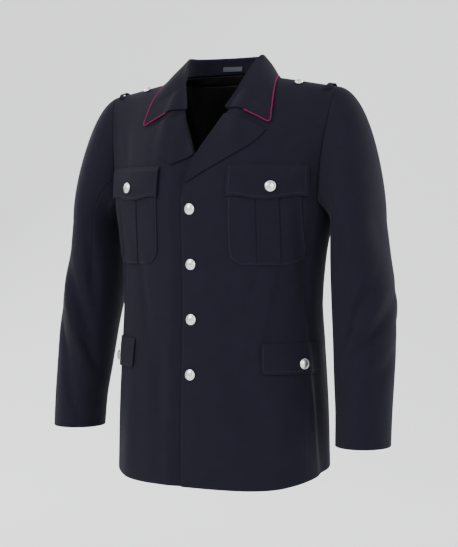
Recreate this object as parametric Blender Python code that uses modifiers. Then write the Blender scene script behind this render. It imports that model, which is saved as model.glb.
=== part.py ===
# Dress uniform jacket in its worn shape, hollow, with no wearer.
# Metres, +Z up. The front faces -Y and the wearer's left is +X.
# The origin is the centre of the neck at the height where the shoulder seams meet the collar.
import math

import bpy
import numpy as np
from mathutils import Vector

# Cloth and seams
WALL = 0.0020
THIN_WALL = 0.0012
SEAM_GAP = 0.0003
REST_GAP = 0.0005
NORMAL_STEP = 0.002
PANEL_SPAN = 0.20
SLEEVE_SPAN = 0.40
SHARP_ANGLE = 40

# Body length and panel seams
HEM_HEIGHT = -0.766
HEM_BACK_RISE = 0.038
HEM_RISE_FROM = 25.0
HEM_RISE_TO = 130.0
ARMHOLE_HEIGHT = -0.240
ARMHOLE_DROP = 0.018
FRONT_SEAM_ANGLE = 70.0
BACK_SEAM_ANGLE = 112.0
FRONT_OVERLAP = 0.018
UNDERLAP_DEPTH = 0.0055
UNDERLAP_REACH = 0.050

# Body sections from the hem up
BODY_SECTIONS = (
    {"height": -0.790, "half_width": 0.215, "front": 0.138, "back": 0.124, "square": 2.30},
    {"height": -0.750, "half_width": 0.214, "front": 0.137, "back": 0.122, "square": 2.30},
    {"height": -0.620, "half_width": 0.211, "front": 0.135, "back": 0.116, "square": 2.30},
    {"height": -0.500, "half_width": 0.206, "front": 0.131, "back": 0.102, "square": 2.25},
    {"height": -0.430, "half_width": 0.204, "front": 0.129, "back": 0.096, "square": 2.20},
    {"height": -0.340, "half_width": 0.210, "front": 0.131, "back": 0.104, "square": 2.10},
    {"height": -0.240, "half_width": 0.228, "front": 0.135, "back": 0.116, "square": 2.00},
    {"height": -0.200, "half_width": 0.232, "front": 0.135, "back": 0.118, "square": 2.00},
)

# Shoulder seam and neckline
NECK_POINT = (0.080, 0.005, 0.000)
SHOULDER_POINT = (0.237, 0.008, -0.029)
BACK_NECK_DEPTH = 0.073
BACK_NECK_RISE = 0.010
SHOULDER_PULL = 0.60
FRONT_NECK_SHARE = 0.42
BACK_NECK_SHARE = 0.38
FRONT_LEAN_POWER = 1.2
BACK_LEAN_START = 0.25
BACK_TURN_IN = 25.0
BACK_FULLNESS = 0.30
BACK_FULL_END = 0.73

# Roll line of the lapel, from the break point up to the neck
ROLL_LINE = (
    {"x": -0.0160, "y": -0.1330, "z": -0.2050},
    {"x": 0.0000, "y": -0.1190, "z": -0.1580},
    {"x": 0.0340, "y": -0.0850, "z": -0.0940},
    {"x": 0.0530, "y": -0.0580, "z": -0.0550},
    {"x": 0.0690, "y": -0.0310, "z": -0.0220},
    {"x": 0.0800, "y": 0.0050, "z": 0.0000},
)

# Lapel, from its tip at the gorge down to the front edge: outer edge beside the roll line
LAPEL_ROWS = (
    {"roll": 0.4700, "x": 0.1290, "z": -0.1060},
    {"roll": 0.4000, "x": 0.1130, "z": -0.1290},
    {"roll": 0.3200, "x": 0.0790, "z": -0.1530},
    {"roll": 0.2200, "x": 0.0450, "z": -0.1730},
    {"roll": 0.1200, "x": 0.0150, "z": -0.1900},
    {"roll": 0.0300, "x": -0.0100, "z": -0.2050},
)
LAPEL_ROLL_LIFT = 0.0060
LAPEL_EDGE_LIFT = 0.00265
LAPEL_STEPS = 7
LAPEL_START = 0.02
LAPEL_ACROSS = (0.0, 0.035, 0.12, 0.35, 0.65, 1.0)
RIGHT_LAPEL_END = 0.59
RIGHT_LAPEL_SINK = 0.42
RIGHT_LAPEL_LIFT = 0.0002
RIGHT_LAPEL_FADE = 0.25

# Collar sections, from the centre back to the gorge: stand height, then the outer edge
COLLAR_SECTIONS = (
    {"neck": 0.000, "stand": 0.0300, "x": 0.0000, "y": 0.1050, "z": -0.0260},
    {"neck": 0.180, "stand": 0.0305, "x": 0.0520, "y": 0.0930, "z": -0.0200},
    {"neck": 0.360, "stand": 0.0320, "x": 0.0960, "y": 0.0560, "z": -0.0110},
    {"neck": 0.500, "stand": 0.0340, "x": 0.1120, "y": 0.0080, "z": -0.0040},
    {"neck": 0.640, "stand": 0.0250, "x": 0.1200, "y": -0.0250, "z": -0.0200},
    {"neck": 0.820, "stand": 0.0130, "x": 0.1260, "y": -0.0480, "z": -0.0560},
    {"neck": 1.000, "stand": 0.0075, "x": 0.1290, "y": -0.0640, "z": -0.1000},
)
COLLAR_GORGE = 0.50
FOLD_RADIUS = 0.0036
COLLAR_BULGE = 0.0040
COLLAR_FOOT_RISE = 0.0032
COLLAR_FOOT_OUT = 0.0004
COLLAR_TOP_RISE = 0.0040
COLLAR_TOP_IN = 0.0030
COLLAR_FALL = (0.3, 0.6, 0.85)
COLLAR_GAP = 0.0019
PIPING_RADIUS = 0.0012

# Sleeve sections below the armhole, down to the cuff
SLEEVE_SECTIONS = (
    {"height": -0.276, "x": 0.2765, "y": 0.0040, "half_x": 0.0460, "half_y": 0.0790},
    {"height": -0.340, "x": 0.2810, "y": 0.0030, "half_x": 0.0520, "half_y": 0.0760},
    {"height": -0.420, "x": 0.2900, "y": -0.0020, "half_x": 0.0580, "half_y": 0.0720},
    {"height": -0.480, "x": 0.2950, "y": -0.0120, "half_x": 0.0570, "half_y": 0.0660},
    {"height": -0.560, "x": 0.2990, "y": -0.0240, "half_x": 0.0540, "half_y": 0.0600},
    {"height": -0.620, "x": 0.3020, "y": -0.0330, "half_x": 0.0510, "half_y": 0.0560},
    {"height": -0.680, "x": 0.3030, "y": -0.0390, "half_x": 0.0500, "half_y": 0.0535},
)
SLEEVE_CLEARANCE = 0.0008
SLEEVE_HEAD_PULL = 0.180
SLEEVE_LOW_PULL = 0.12
SLEEVE_HEAD_POWER = 1.5
SLEEVE_HEAD_SPREAD = 0.055
SLEEVE_HEAD_FALL = (0.020, 0.030)
SLEEVE_SHORT = 0.10
SLEEVE_HEAD_DROP = 0.240
SLEEVE_FRONT_SEAM = 0.330
SLEEVE_BACK_SEAM = 0.740
CAP_SHARE = 0.36

# Sleeve folds: height, place round the sleeve, depth and spread
SLEEVE_FOLDS = (
    {"height": -0.455, "round": 0.26, "depth": 0.0040, "tall": 0.014, "wide": 0.12},
    {"height": -0.490, "round": 0.30, "depth": 0.0034, "tall": 0.012, "wide": 0.10},
    {"height": -0.400, "round": 0.22, "depth": 0.0030, "tall": 0.018, "wide": 0.13},
)

# Pockets
BREAST_POCKET = {"x": 0.134, "half": 0.060, "top": -0.189, "bottom": -0.356, "corner": 0.030}
BREAST_PLEAT = {"x": 0.143, "half": 0.018, "rise": 0.0012, "edge": 0.0012}
BREAST_FLAP = {"x": 0.137, "half": 0.066, "top": -0.175, "bottom": -0.228, "point": 0.009, "corner": 0.004}
BREAST_FLAP_ROWS = (0.0, 0.08, 0.17, 0.5, 1.0)
POCKET_COLUMNS_IN = (-1.0, -0.72, -0.4)
POCKET_COLUMNS_OUT = (0.62, 0.85, 1.0)
POCKET_ROWS = 7
FLAP_COLUMNS = 11
FLAP_SETTLE = 0.17
FLAP_CORNER_POWER = 6
LOWER_FLAP_COLUMNS = 9
LOWER_FLAP_ROWS = 5
LOWER_FLAP = {"start": 37.0, "end": 86.0, "top": -0.498, "bottom": -0.554}
POCKET_LIFT = 0.0028
FLAP_EDGE_LIFT = 0.0024
FLAP_LIFT = 0.0060
LOWER_FLAP_LIFT = 0.0023

# Buttons and shoulder loops
BUTTON_RADIUS = 0.0100
SMALL_BUTTON_RADIUS = 0.0080
BUTTON_RISE = 0.0052
BUTTON_SIDES = 16
BUTTON_PROFILE = (
    {"across": 0.00, "up": 1.00},
    {"across": 0.45, "up": 0.90},
    {"across": 0.80, "up": 0.60},
    {"across": 1.00, "up": 0.28},
    {"across": 0.94, "up": 0.00},
    {"across": 0.00, "up": 0.00},
)
WELD = 0.00001
FRONT_BUTTON_TOP = -0.254
FRONT_BUTTON_STEP = 0.1015
FRONT_BUTTON_COUNT = 4
BREAST_BUTTON = {"x": 0.147, "z": -0.214}
FLAP_BUTTON = {"angle": 67.0, "z": -0.536}
SHOULDER_BUTTON_X = 0.1625
SHOULDER_BUTTON_FORWARD = 0.017
LOOP_X = 0.222
LOOP_FORWARD = 0.007
LOOP_HALF_LENGTH = 0.024
LOOP_HALF_WIDTH = 0.005
LOOP_ARCH = 0.0032
LOOP_ROWS = 7
LOOP_COLUMNS = 3

# Inside of the neck
LINING_LOW = 0.20
LINING_GAP = 0.0037
LABEL_X = -0.016
LABEL_HALF_WIDTH = 0.019
LABEL_HALF_HEIGHT = 0.0045
LABEL_HEIGHT = 0.022
LABEL_IN = 0.0040
LABEL_THICK = 0.0010
LABEL_COLUMNS = 7

# Rows and columns of each wall
BODY_ROWS_BELOW = 12
BODY_ROWS_ABOVE = 9
FRONT_COLUMNS = 15
BACK_COLUMNS = 9
SIDE_COLUMNS = 5
CAP_ROWS = 8
SLEEVE_ROWS = 12
TOP_SLEEVE_COLUMNS = 14
UNDER_SLEEVE_COLUMNS = 8
COLLAR_STATIONS = 25
ARMHOLE_STEPS = 40

# Laying a trim on the body
SAMPLE_COUNT = 90
NEAR_SAMPLES = 6
NEAREST = 1e-8
FIRST_DEPTH = -0.12
DEPTH_ROUNDS = 4
LEAST_SLOPE = 0.2

NAVY = (0.020, 0.022, 0.040, 1.0)
LINING_BLACK = (0.008, 0.008, 0.012, 1.0)
LABEL_BLUE = (0.045, 0.055, 0.085, 1.0)
PIPING_RED = (0.250, 0.010, 0.085, 1.0)
SILVER = (0.780, 0.780, 0.800, 1.0)

SIDES = (("left", 1.0), ("right", -1.0))


def clear_scene():
    for scene_object in list(bpy.data.objects):
        bpy.data.objects.remove(scene_object)


def make_material(name, colour, roughness, metallic):
    material = bpy.data.materials.new(name)
    material.use_nodes = True
    shader = material.node_tree.nodes["Principled BSDF"]
    shader.inputs["Base Color"].default_value = colour
    shader.inputs["Roughness"].default_value = roughness
    shader.inputs["Metallic"].default_value = metallic
    return material


# A smooth value read from a table of named columns
def read_table(table, key, column, place):
    keys = np.array([row[key] for row in table], float)
    values = np.array([row[column] for row in table], float)
    slopes = np.gradient(values, keys)
    place = np.asarray(place, float)
    index = np.clip(np.searchsorted(keys, place) - 1, 0, len(keys) - 2)
    span = keys[index + 1] - keys[index]
    t = (place - keys[index]) / span
    return hermite(t, values[index], values[index + 1], slopes[index] * span, slopes[index + 1] * span)


def hermite(t, start, end, leave, arrive):
    t2 = t * t
    t3 = t2 * t
    leaving = (2 * t3 - 3 * t2 + 1) * start + (t3 - 2 * t2 + t) * leave
    arriving = (3 * t2 - 2 * t3) * end + (t3 - t2) * arrive
    return leaving + arriving


def smooth_step(value):
    value = np.clip(value, 0.0, 1.0)
    return value * value * (3 - 2 * value)


def unit(vectors):
    return vectors / np.maximum(np.linalg.norm(vectors, axis=-1, keepdims=True), 1e-9)


# A point on the body's section at an angle from the centre front
def body_point(angle, height):
    angle = np.radians(np.asarray(angle, float))
    angle, height = np.broadcast_arrays(angle, np.asarray(height, float))
    half_width = read_table(BODY_SECTIONS, "height", "half_width", height)
    front = read_table(BODY_SECTIONS, "height", "front", height)
    back = read_table(BODY_SECTIONS, "height", "back", height)
    power = 2.0 / read_table(BODY_SECTIONS, "height", "square", height)
    across = np.sign(np.sin(angle)) * np.abs(np.sin(angle)) ** power
    along = np.abs(np.cos(angle)) ** power
    depth = np.where(np.cos(angle) > 0, -front * along, back * along)
    return np.stack([half_width * across, depth, height], axis=-1)


def front_edge_angle(height):
    half_width = read_table(BODY_SECTIONS, "height", "half_width", height)
    square = read_table(BODY_SECTIONS, "height", "square", height)
    return -np.degrees(np.arcsin((FRONT_OVERLAP / half_width) ** (square / 2)))


def hem_height(angle):
    turned = (np.abs(angle) - HEM_RISE_FROM) / (HEM_RISE_TO - HEM_RISE_FROM)
    return HEM_HEIGHT + HEM_BACK_RISE * smooth_step(turned)


def roll_point(share):
    rows = [dict(row, place=index / (len(ROLL_LINE) - 1)) for index, row in enumerate(ROLL_LINE)]
    return np.stack([read_table(rows, "place", axis, share) for axis in "xyz"], axis=-1)


def shoulder_seam(share):
    share = np.asarray(share, float)[..., None]
    return np.array(NECK_POINT) * (1 - share) + np.array(SHOULDER_POINT) * share


def back_neckline(share):
    turn = np.asarray(share, float) * math.pi / 2
    x = NECK_POINT[0] * np.sin(turn)
    y = NECK_POINT[1] + BACK_NECK_DEPTH * np.cos(turn)
    z = NECK_POINT[2] + BACK_NECK_RISE * np.cos(turn)
    return np.stack([x, y, z], axis=-1)


# From the armhole's level a column of cloth climbs to the shoulder seam or the neck
def climb(t, start, end, lean, backward, full):
    length = np.linalg.norm(end - start, axis=-1, keepdims=True)
    zero = np.zeros_like(lean)
    leave = np.stack([zero, zero, np.ones_like(lean)], axis=-1) * length
    turn = np.radians(BACK_TURN_IN) * full
    pull = length * (SHOULDER_PULL + BACK_FULLNESS * full)[..., None]
    forward = backward * np.sin(lean) * np.cos(turn)
    arrive = np.stack([-np.sin(lean) * np.sin(turn), forward, np.cos(lean)], axis=-1) * pull
    return hermite(t[..., None], start, end, leave, arrive)


def joined(below, above, place):
    return np.where((place <= 0)[..., None], below, above)


# place runs from -1 at the hem, through 0 at the armhole's level, to 1 at the shoulder
def front_surface(column, place):
    column, place = np.broadcast_arrays(np.asarray(column, float), np.asarray(place, float))
    edge = front_edge_angle(ARMHOLE_HEIGHT)
    angle = edge + column * (FRONT_SEAM_ANGLE - edge)
    height = ARMHOLE_HEIGHT + np.minimum(place, 0) * (ARMHOLE_HEIGHT - hem_height(angle))
    low_edge = front_edge_angle(height)
    below = body_point(low_edge + column * (FRONT_SEAM_ANGLE - low_edge), height)
    neck_share = np.clip(column / FRONT_NECK_SHARE, 0, 1)
    seam_share = (column - FRONT_NECK_SHARE) / (1 - FRONT_NECK_SHARE)
    on_neck = (column < FRONT_NECK_SHARE)[..., None]
    top = np.where(on_neck, roll_point(neck_share), shoulder_seam(seam_share))
    lean = math.pi / 2 * neck_share ** FRONT_LEAN_POWER
    above = climb(np.maximum(place, 0), body_point(angle, ARMHOLE_HEIGHT), top, lean, 1.0, 0 * lean)
    return joined(below, above, place)


def back_surface(column, place):
    column, place = np.broadcast_arrays(np.asarray(column, float), np.asarray(place, float))
    angle = 180.0 - column * (180.0 - BACK_SEAM_ANGLE)
    height = ARMHOLE_HEIGHT + np.minimum(place, 0) * (ARMHOLE_HEIGHT - hem_height(angle))
    below = body_point(angle, height)
    neck_share = np.clip(column / BACK_NECK_SHARE, 0, 1)
    seam_share = (column - BACK_NECK_SHARE) / (1 - BACK_NECK_SHARE)
    on_neck = (column < BACK_NECK_SHARE)[..., None]
    top = np.where(on_neck, back_neckline(neck_share), shoulder_seam(seam_share))
    lean = math.pi / 2 * (BACK_LEAN_START + (1 - BACK_LEAN_START) * neck_share)
    past_neck = (column - BACK_NECK_SHARE) / (BACK_FULL_END - BACK_NECK_SHARE)
    full = smooth_step(column / BACK_NECK_SHARE) * (1 - smooth_step(past_neck))
    above = climb(np.maximum(place, 0), body_point(angle, ARMHOLE_HEIGHT), top, lean, -1.0, full)
    return joined(below, above, place)


def armhole_low_height(angle):
    reach = (np.asarray(angle, float) - 90.0) / (90.0 - FRONT_SEAM_ANGLE)
    return ARMHOLE_HEIGHT - ARMHOLE_DROP * (1 - reach * reach)


def side_surface(column, place):
    column, place = np.broadcast_arrays(np.asarray(column, float), np.asarray(place, float))
    angle = FRONT_SEAM_ANGLE + column * (BACK_SEAM_ANGLE - FRONT_SEAM_ANGLE)
    top = armhole_low_height(angle)
    height = top + place * (top - hem_height(angle))
    return body_point(angle, height)


def normals_of(surface, column, place):
    across = surface(column + NORMAL_STEP, place) - surface(column - NORMAL_STEP, place)
    up = surface(column, place + NORMAL_STEP) - surface(column, place - NORMAL_STEP)
    return unit(np.cross(across, up))


# A wall between an outer grid and the same grid moved in, with its rims closed and its faces pointing out
def make_wall(name, outer, inner, material, closed_round=False):
    rows, columns = outer.shape[:2]
    across = np.gradient(outer, axis=1)
    up = np.gradient(outer, axis=0)
    if (np.cross(across, up) * (outer - inner)).sum() < 0:
        outer = outer[:, ::-1]
        inner = inner[:, ::-1]
    count = rows * columns
    points = np.concatenate([outer.reshape(-1, 3), inner.reshape(-1, 3)])

    def corner(row, column, layer):
        return layer * count + row * columns + column % columns

    spans = columns if closed_round else columns - 1
    faces = []
    for row in range(rows - 1):
        for column in range(spans):
            ring = [(row, column), (row, column + 1), (row + 1, column + 1), (row + 1, column)]
            faces.append([corner(r, c, 0) for r, c in ring])
            faces.append([corner(r, c, 1) for r, c in reversed(ring)])
    for column in range(spans):
        for row, order in ((0, 1), (rows - 1, -1)):
            rim = [corner(row, column, 1), corner(row, column + 1, 1)]
            rim += [corner(row, column + 1, 0), corner(row, column, 0)]
            faces.append(rim[::order])
    if not closed_round:
        for row in range(rows - 1):
            for column, order in ((0, -1), (columns - 1, 1)):
                rim = [corner(row, column, 1), corner(row + 1, column, 1)]
                rim += [corner(row + 1, column, 0), corner(row, column, 0)]
                faces.append(rim[::order])
    mesh = bpy.data.meshes.new(name)
    mesh.from_pydata([tuple(p) for p in points], [], faces)
    mesh.update()
    finish_mesh(mesh)
    return add_object(name, mesh, material)


def finish_mesh(mesh):
    mesh.shade_smooth()
    mesh.set_sharp_from_angle(angle=math.radians(SHARP_ANGLE))


def add_object(name, mesh, material):
    made = bpy.data.objects.new(name, mesh)
    made.data.materials.append(material)
    jacket.objects.link(made)
    return made


def mirrored(points, side):
    return points * np.array([side, 1.0, 1.0])


def side_wall(name, side, outer, inner, material):
    return make_wall(name, mirrored(outer, side), mirrored(inner, side), material)


def body_rows():
    below = np.linspace(-1, 0, BODY_ROWS_BELOW)
    above = np.linspace(0, 1, BODY_ROWS_ABOVE)[1:]
    rows = np.concatenate([below, above])
    rows[-1] -= SEAM_GAP / 2 / PANEL_SPAN
    return rows


def underlap(points, side):
    if side > 0:
        return points
    reach = (UNDERLAP_REACH - points[..., 0]) / (UNDERLAP_REACH - FRONT_OVERLAP)
    depth = UNDERLAP_DEPTH * smooth_step(reach)
    return points + np.stack([np.zeros_like(depth), depth, np.zeros_like(depth)], axis=-1)


def make_body(cloth):
    rows = body_rows()[:, None]
    seam = SEAM_GAP / 2 / PANEL_SPAN
    for word, side in SIDES:
        columns = np.linspace(0, 1 - seam, FRONT_COLUMNS)[None, :]
        outer = front_surface(columns, rows)
        normal = normals_of(front_surface, columns, rows)
        inner = underlap(outer - normal * WALL, side)
        side_wall("front_" + word, side, underlap(outer, side), inner, cloth)
        columns = np.linspace(seam, 1 - seam, SIDE_COLUMNS)[None, :]
        side_rows = np.linspace(-1, 0, BODY_ROWS_BELOW)[:, None]
        outer = side_surface(columns, side_rows)
        normal = normals_of(side_surface, columns, side_rows)
        side_wall("side_" + word, side, outer, outer - normal * WALL, cloth)
        columns = np.linspace(seam, 1 - seam, BACK_COLUMNS)[None, :]
        outer = back_surface(columns, rows)
        normal = -normals_of(back_surface, columns, rows)
        side_wall("back_" + word, side, outer, outer - normal * WALL, cloth)


# Samples of the body's outside, on which trims are laid
def sample_body():
    below = np.linspace(-1, 0, SAMPLE_COUNT)
    above = np.linspace(0, 1, SAMPLE_COUNT)[1:]
    rows = np.concatenate([below, above])[:, None]
    columns = np.linspace(0, 1, SAMPLE_COUNT)[None, :]
    found = []
    for surface, turn in ((front_surface, 1.0), (side_surface, 1.0), (back_surface, -1.0)):
        places = below[:, None] if surface is side_surface else rows
        points = surface(columns, places)
        normals = turn * normals_of(surface, columns, places)
        found.append(np.concatenate([points, normals], axis=-1).reshape(-1, 6))
    return np.concatenate(found)


# Each point is moved along the cloth's normal to stand at the given height over it
def laid_on_body(points, lift):
    flat = points.reshape(-1, 3)
    lift = np.broadcast_to(np.asarray(lift, float), points.shape[:-1]).reshape(-1)
    moved = np.empty_like(flat)
    normals = np.empty_like(flat)
    for index, point in enumerate(flat):
        distance = ((body_samples[:, :3] - point) ** 2).sum(axis=1)
        near = np.argpartition(distance, NEAR_SAMPLES)[:NEAR_SAMPLES]
        weight = 1 / (distance[near] + NEAREST)
        weight = (weight / weight.sum())[:, None]
        foot = (body_samples[near, :3] * weight).sum(axis=0)
        normal = unit((body_samples[near, 3:] * weight).sum(axis=0))
        moved[index] = point - normal * np.dot(point - foot, normal) + normal * lift[index]
        normals[index] = normal
    return moved.reshape(points.shape), normals.reshape(points.shape)


# The place on the front at a given width and height
def on_front(x, height, lift):
    x, height = np.broadcast_arrays(np.asarray(x, float), np.asarray(height, float))
    depth = np.full_like(x, FIRST_DEPTH)
    for _ in range(DEPTH_ROUNDS):
        points, normals = laid_on_body(np.stack([x, depth, height], axis=-1), 0.0)
        slope = np.minimum(normals[..., 1], -LEAST_SLOPE)
        off = (x - points[..., 0]) * normals[..., 0] + (height - points[..., 2]) * normals[..., 2]
        depth = points[..., 1] - off / slope
    points, normals = laid_on_body(np.stack([x, depth, height], axis=-1), lift)
    return points, normals


def make_lapels(cloth):
    across = np.array(LAPEL_ACROSS)
    rows = [dict(row, place=index / (len(LAPEL_ROWS) - 1)) for index, row in enumerate(LAPEL_ROWS)]
    for word, side in SIDES:
        end = 1.0 if side > 0 else RIGHT_LAPEL_END
        place = np.linspace(LAPEL_START, end, LAPEL_STEPS)
        roll = roll_point(read_table(rows, "place", "roll", place))
        edge_x = read_table(rows, "place", "x", place)
        edge_z = read_table(rows, "place", "z", place)
        edge, _ = on_front(edge_x, edge_z, 0.0)
        guess = roll[:, None] * (1 - across[None, :, None]) + edge[:, None] * across[None, :, None]
        proud = (LAPEL_ROLL_LIFT - LAPEL_EDGE_LIFT) * np.where(across > 0, 1 - across, 0)
        rolled = np.ones(LAPEL_STEPS)
        edge_lift = LAPEL_EDGE_LIFT
        if side < 0:
            rolled = 1 - smooth_step((place - RIGHT_LAPEL_SINK) / RIGHT_LAPEL_FADE)
            edge_lift = LAPEL_EDGE_LIFT + RIGHT_LAPEL_LIFT
        height = edge_lift + proud[None, :] * rolled[:, None]
        outer, normal = laid_on_body(guess, height)
        outer = underlap(outer, side)
        inner = outer - normal * THIN_WALL
        side_wall("lapel_" + word, side, outer[::-1], inner[::-1], cloth)


def neck_curve(share):
    share = np.asarray(share, float)
    behind = back_neckline(np.minimum(share, 0.5) * 2)
    before = roll_point(1 - (np.maximum(share, 0.5) - 0.5) * 2 * COLLAR_GORGE)
    return np.where((share <= 0.5)[..., None], behind, before)


def collar_sections(stations):
    share = np.abs(stations)
    side = np.where(stations < 0, -1.0, 1.0)
    neck = neck_curve(share)
    stand = read_table(COLLAR_SECTIONS, "neck", "stand", share)
    edge = np.stack([read_table(COLLAR_SECTIONS, "neck", axis, share) for axis in "xyz"], axis=-1)
    edge, _ = laid_on_body(edge, WALL + COLLAR_GAP)
    out = unit((edge - neck) * np.array([1.0, 1.0, 0.0]))
    up = np.array([0.0, 0.0, 1.0])
    foot = neck + up * COLLAR_FOOT_RISE - out * COLLAR_FOOT_OUT
    top = neck + up * (stand[:, None] + COLLAR_TOP_RISE) - out * COLLAR_TOP_IN
    turn = [foot, foot * 0.45 + top * 0.55, top - out * FOLD_RADIUS * 0.6 - up * FOLD_RADIUS]
    turn += [top, top + out * FOLD_RADIUS - up * FOLD_RADIUS * 0.7]
    start = turn[-1]
    for along in COLLAR_FALL:
        lifted = start * (1 - along) + edge * along + up * COLLAR_BULGE * math.sin(math.pi * along)
        turn.append(lifted)
    turn.append(edge)
    grid = np.stack(turn, axis=1)
    grid[..., 0] *= side[:, None]
    return grid


def grid_normals(grid):
    return unit(np.cross(np.gradient(grid, axis=0), np.gradient(grid, axis=1)))


def make_collar(cloth, piping):
    stations = np.linspace(-1, 1, COLLAR_STATIONS)
    outer = collar_sections(stations)
    for column in (5, 6, 7):
        reach = np.where(stations[:, None] < 0, np.array([[-1.0, 1.0, 1.0]]), 1.0)
        folded = outer[:, column] * reach
        laid, normal = laid_on_body(folded, 0.0)
        height = ((folded - laid) * normal).sum(axis=-1)
        lowest = WALL + COLLAR_GAP
        folded = folded + normal * np.maximum(lowest - height, 0)[:, None]
        outer[:, column] = folded * reach
    normal = grid_normals(outer)
    inner = outer - normal * WALL
    make_wall("collar", outer, inner, cloth)
    make_piping(outer, piping)


def make_piping(grid, material):
    edge = grid[:, -1]
    before = grid[:, -2]
    out = unit(edge - before)
    path = edge + out * (PIPING_RADIUS + REST_GAP)
    curve = bpy.data.curves.new("collar_piping", "CURVE")
    curve.dimensions = "3D"
    curve.bevel_depth = PIPING_RADIUS
    curve.bevel_resolution = 1
    curve.use_fill_caps = True
    spline = curve.splines.new("POLY")
    spline.points.add(len(path) - 1)
    for point, place in zip(spline.points, path):
        point.co = (*place, 1.0)
    add_object("collar_piping", curve, material)


# Armhole from the shoulder point down the front, under the arm and up the back
def armhole_curve():
    climb_down = np.linspace(1, 0, ARMHOLE_STEPS)
    front = front_surface(1.0, climb_down)
    angles = np.linspace(FRONT_SEAM_ANGLE, BACK_SEAM_ANGLE, ARMHOLE_STEPS)
    low = body_point(angles, armhole_low_height(angles))
    back = back_surface(1.0, climb_down[::-1])
    path = np.concatenate([front, low[1:-1], back])
    length = np.concatenate([[0], np.cumsum(np.linalg.norm(np.diff(path, axis=0), axis=1))])
    return path, length / length[-1]


def on_armhole(share):
    path, length = armhole_curve()
    share = np.mod(share, 1.0)
    return np.stack([np.interp(share, length, path[:, axis]) for axis in range(3)], axis=-1)


def sleeve_ring(share, height):
    turn = 2 * math.pi * share
    columns = ("x", "y", "half_x", "half_y")
    values = {column: read_table(SLEEVE_SECTIONS[::-1], "height", column, height) for column in columns}
    fold = np.zeros(np.broadcast(share, height).shape)
    for row in SLEEVE_FOLDS:
        up = (height - row["height"]) / row["tall"]
        across = (np.mod(share, 1) - row["round"]) / row["wide"]
        fold = fold + row["depth"] * np.exp(-up * up - across * across)
    x = values["x"] + (values["half_x"] - fold) * np.cos(turn)
    y = values["y"] - (values["half_y"] - fold) * np.sin(turn)
    return np.stack([x, y, height + 0 * turn], axis=-1)


# place runs from 0 at the armhole, through CAP_SHARE under the arm, to 1 at the cuff
def sleeve_surface(share, place):
    share, place = np.broadcast_arrays(np.asarray(share, float), np.asarray(place, float))
    top_height = SLEEVE_SECTIONS[0]["height"]
    cuff_height = SLEEVE_SECTIONS[-1]["height"]
    down = np.clip((place - CAP_SHARE) / (1 - CAP_SHARE), -0.05, 1.05)
    height = top_height + np.maximum(down, 0) * (cuff_height - top_height)
    below = sleeve_ring(share, height)
    start = on_armhole(share) + np.array([SLEEVE_CLEARANCE, 0.0, 0.0])
    end = sleeve_ring(share, np.full_like(share, top_height))
    length = np.linalg.norm(end - start, axis=-1)
    turn = 2 * math.pi * share
    high = (1 + np.cos(turn)) / 2
    pull = SLEEVE_HEAD_PULL * (SLEEVE_LOW_PULL + (1 - SLEEVE_LOW_PULL) * high ** SLEEVE_HEAD_POWER)
    fall = SLEEVE_HEAD_FALL[0] + SLEEVE_HEAD_FALL[1] * high
    leave = np.stack([pull, -SLEEVE_HEAD_SPREAD * np.sin(turn), -fall], axis=-1)
    leave = leave * np.minimum(1, length / SLEEVE_SHORT)[..., None]
    arrive = np.stack([0 * turn, 0 * turn, -np.minimum(SLEEVE_HEAD_DROP, length * 1.1)], axis=-1)
    above = hermite(np.clip(place / CAP_SHARE, 0, 1)[..., None], start, end, leave, arrive)
    return np.where((place >= CAP_SHARE)[..., None], below, above)


def make_sleeves(cloth):
    cap = np.linspace(0, CAP_SHARE, CAP_ROWS)
    places = np.concatenate([cap, np.linspace(CAP_SHARE, 1, SLEEVE_ROWS)[1:]])
    seam = SEAM_GAP / 2 / SLEEVE_SPAN
    pieces = (
        ("top_sleeve_", SLEEVE_BACK_SEAM - 1 + seam, SLEEVE_FRONT_SEAM - seam, TOP_SLEEVE_COLUMNS),
        ("under_sleeve_", SLEEVE_FRONT_SEAM + seam, SLEEVE_BACK_SEAM - seam, UNDER_SLEEVE_COLUMNS),
    )
    for word, side in SIDES:
        for name, start, end, count in pieces:
            share = np.linspace(start, end, count)[None, :]
            outer = sleeve_surface(share, places[:, None])
            across = sleeve_surface(share + NORMAL_STEP, places[:, None])
            across = across - sleeve_surface(share - NORMAL_STEP, places[:, None])
            down = sleeve_surface(share, np.minimum(places[:, None] + NORMAL_STEP, 1))
            down = down - sleeve_surface(share, np.maximum(places[:, None] - NORMAL_STEP, 0))
            normal = unit(np.cross(across, down))
            side_wall(name + word, side, outer[:, ::-1], (outer - normal * WALL)[:, ::-1], cloth)


def make_breast_pocket(word, side, cloth):
    pocket, pleat = BREAST_POCKET, BREAST_PLEAT
    inner_edge = pocket["x"] - pocket["half"]
    outer_edge = pocket["x"] + pocket["half"]
    folds = (-pleat["half"] - pleat["edge"], -pleat["half"], pleat["half"], pleat["half"] + pleat["edge"])
    inward = [pocket["x"] + pocket["half"] * share for share in POCKET_COLUMNS_IN]
    outward = [pocket["x"] + pocket["half"] * share for share in POCKET_COLUMNS_OUT]
    across = np.array(inward + [pleat["x"] + fold for fold in folds] + outward)
    rise = np.zeros(len(across))
    first = len(inward) + 1
    rise[first:first + 2] = pleat["rise"]
    reach = np.maximum(pocket["corner"] - np.minimum(across - inner_edge, outer_edge - across), 0)
    drop = pocket["corner"] - np.sqrt(np.maximum(pocket["corner"] ** 2 - reach ** 2, 0))
    down = np.linspace(0, 1, POCKET_ROWS)[:, None]
    heights = pocket["top"] + down * (pocket["bottom"] + drop[None, :] - pocket["top"])
    points, normal = on_front(across[None, :], heights, POCKET_LIFT + rise[None, :])
    inner = points - normal * (THIN_WALL + rise[None, :, None])
    side_wall("breast_pocket_" + word, side, points[::-1], inner[::-1], cloth)


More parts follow.
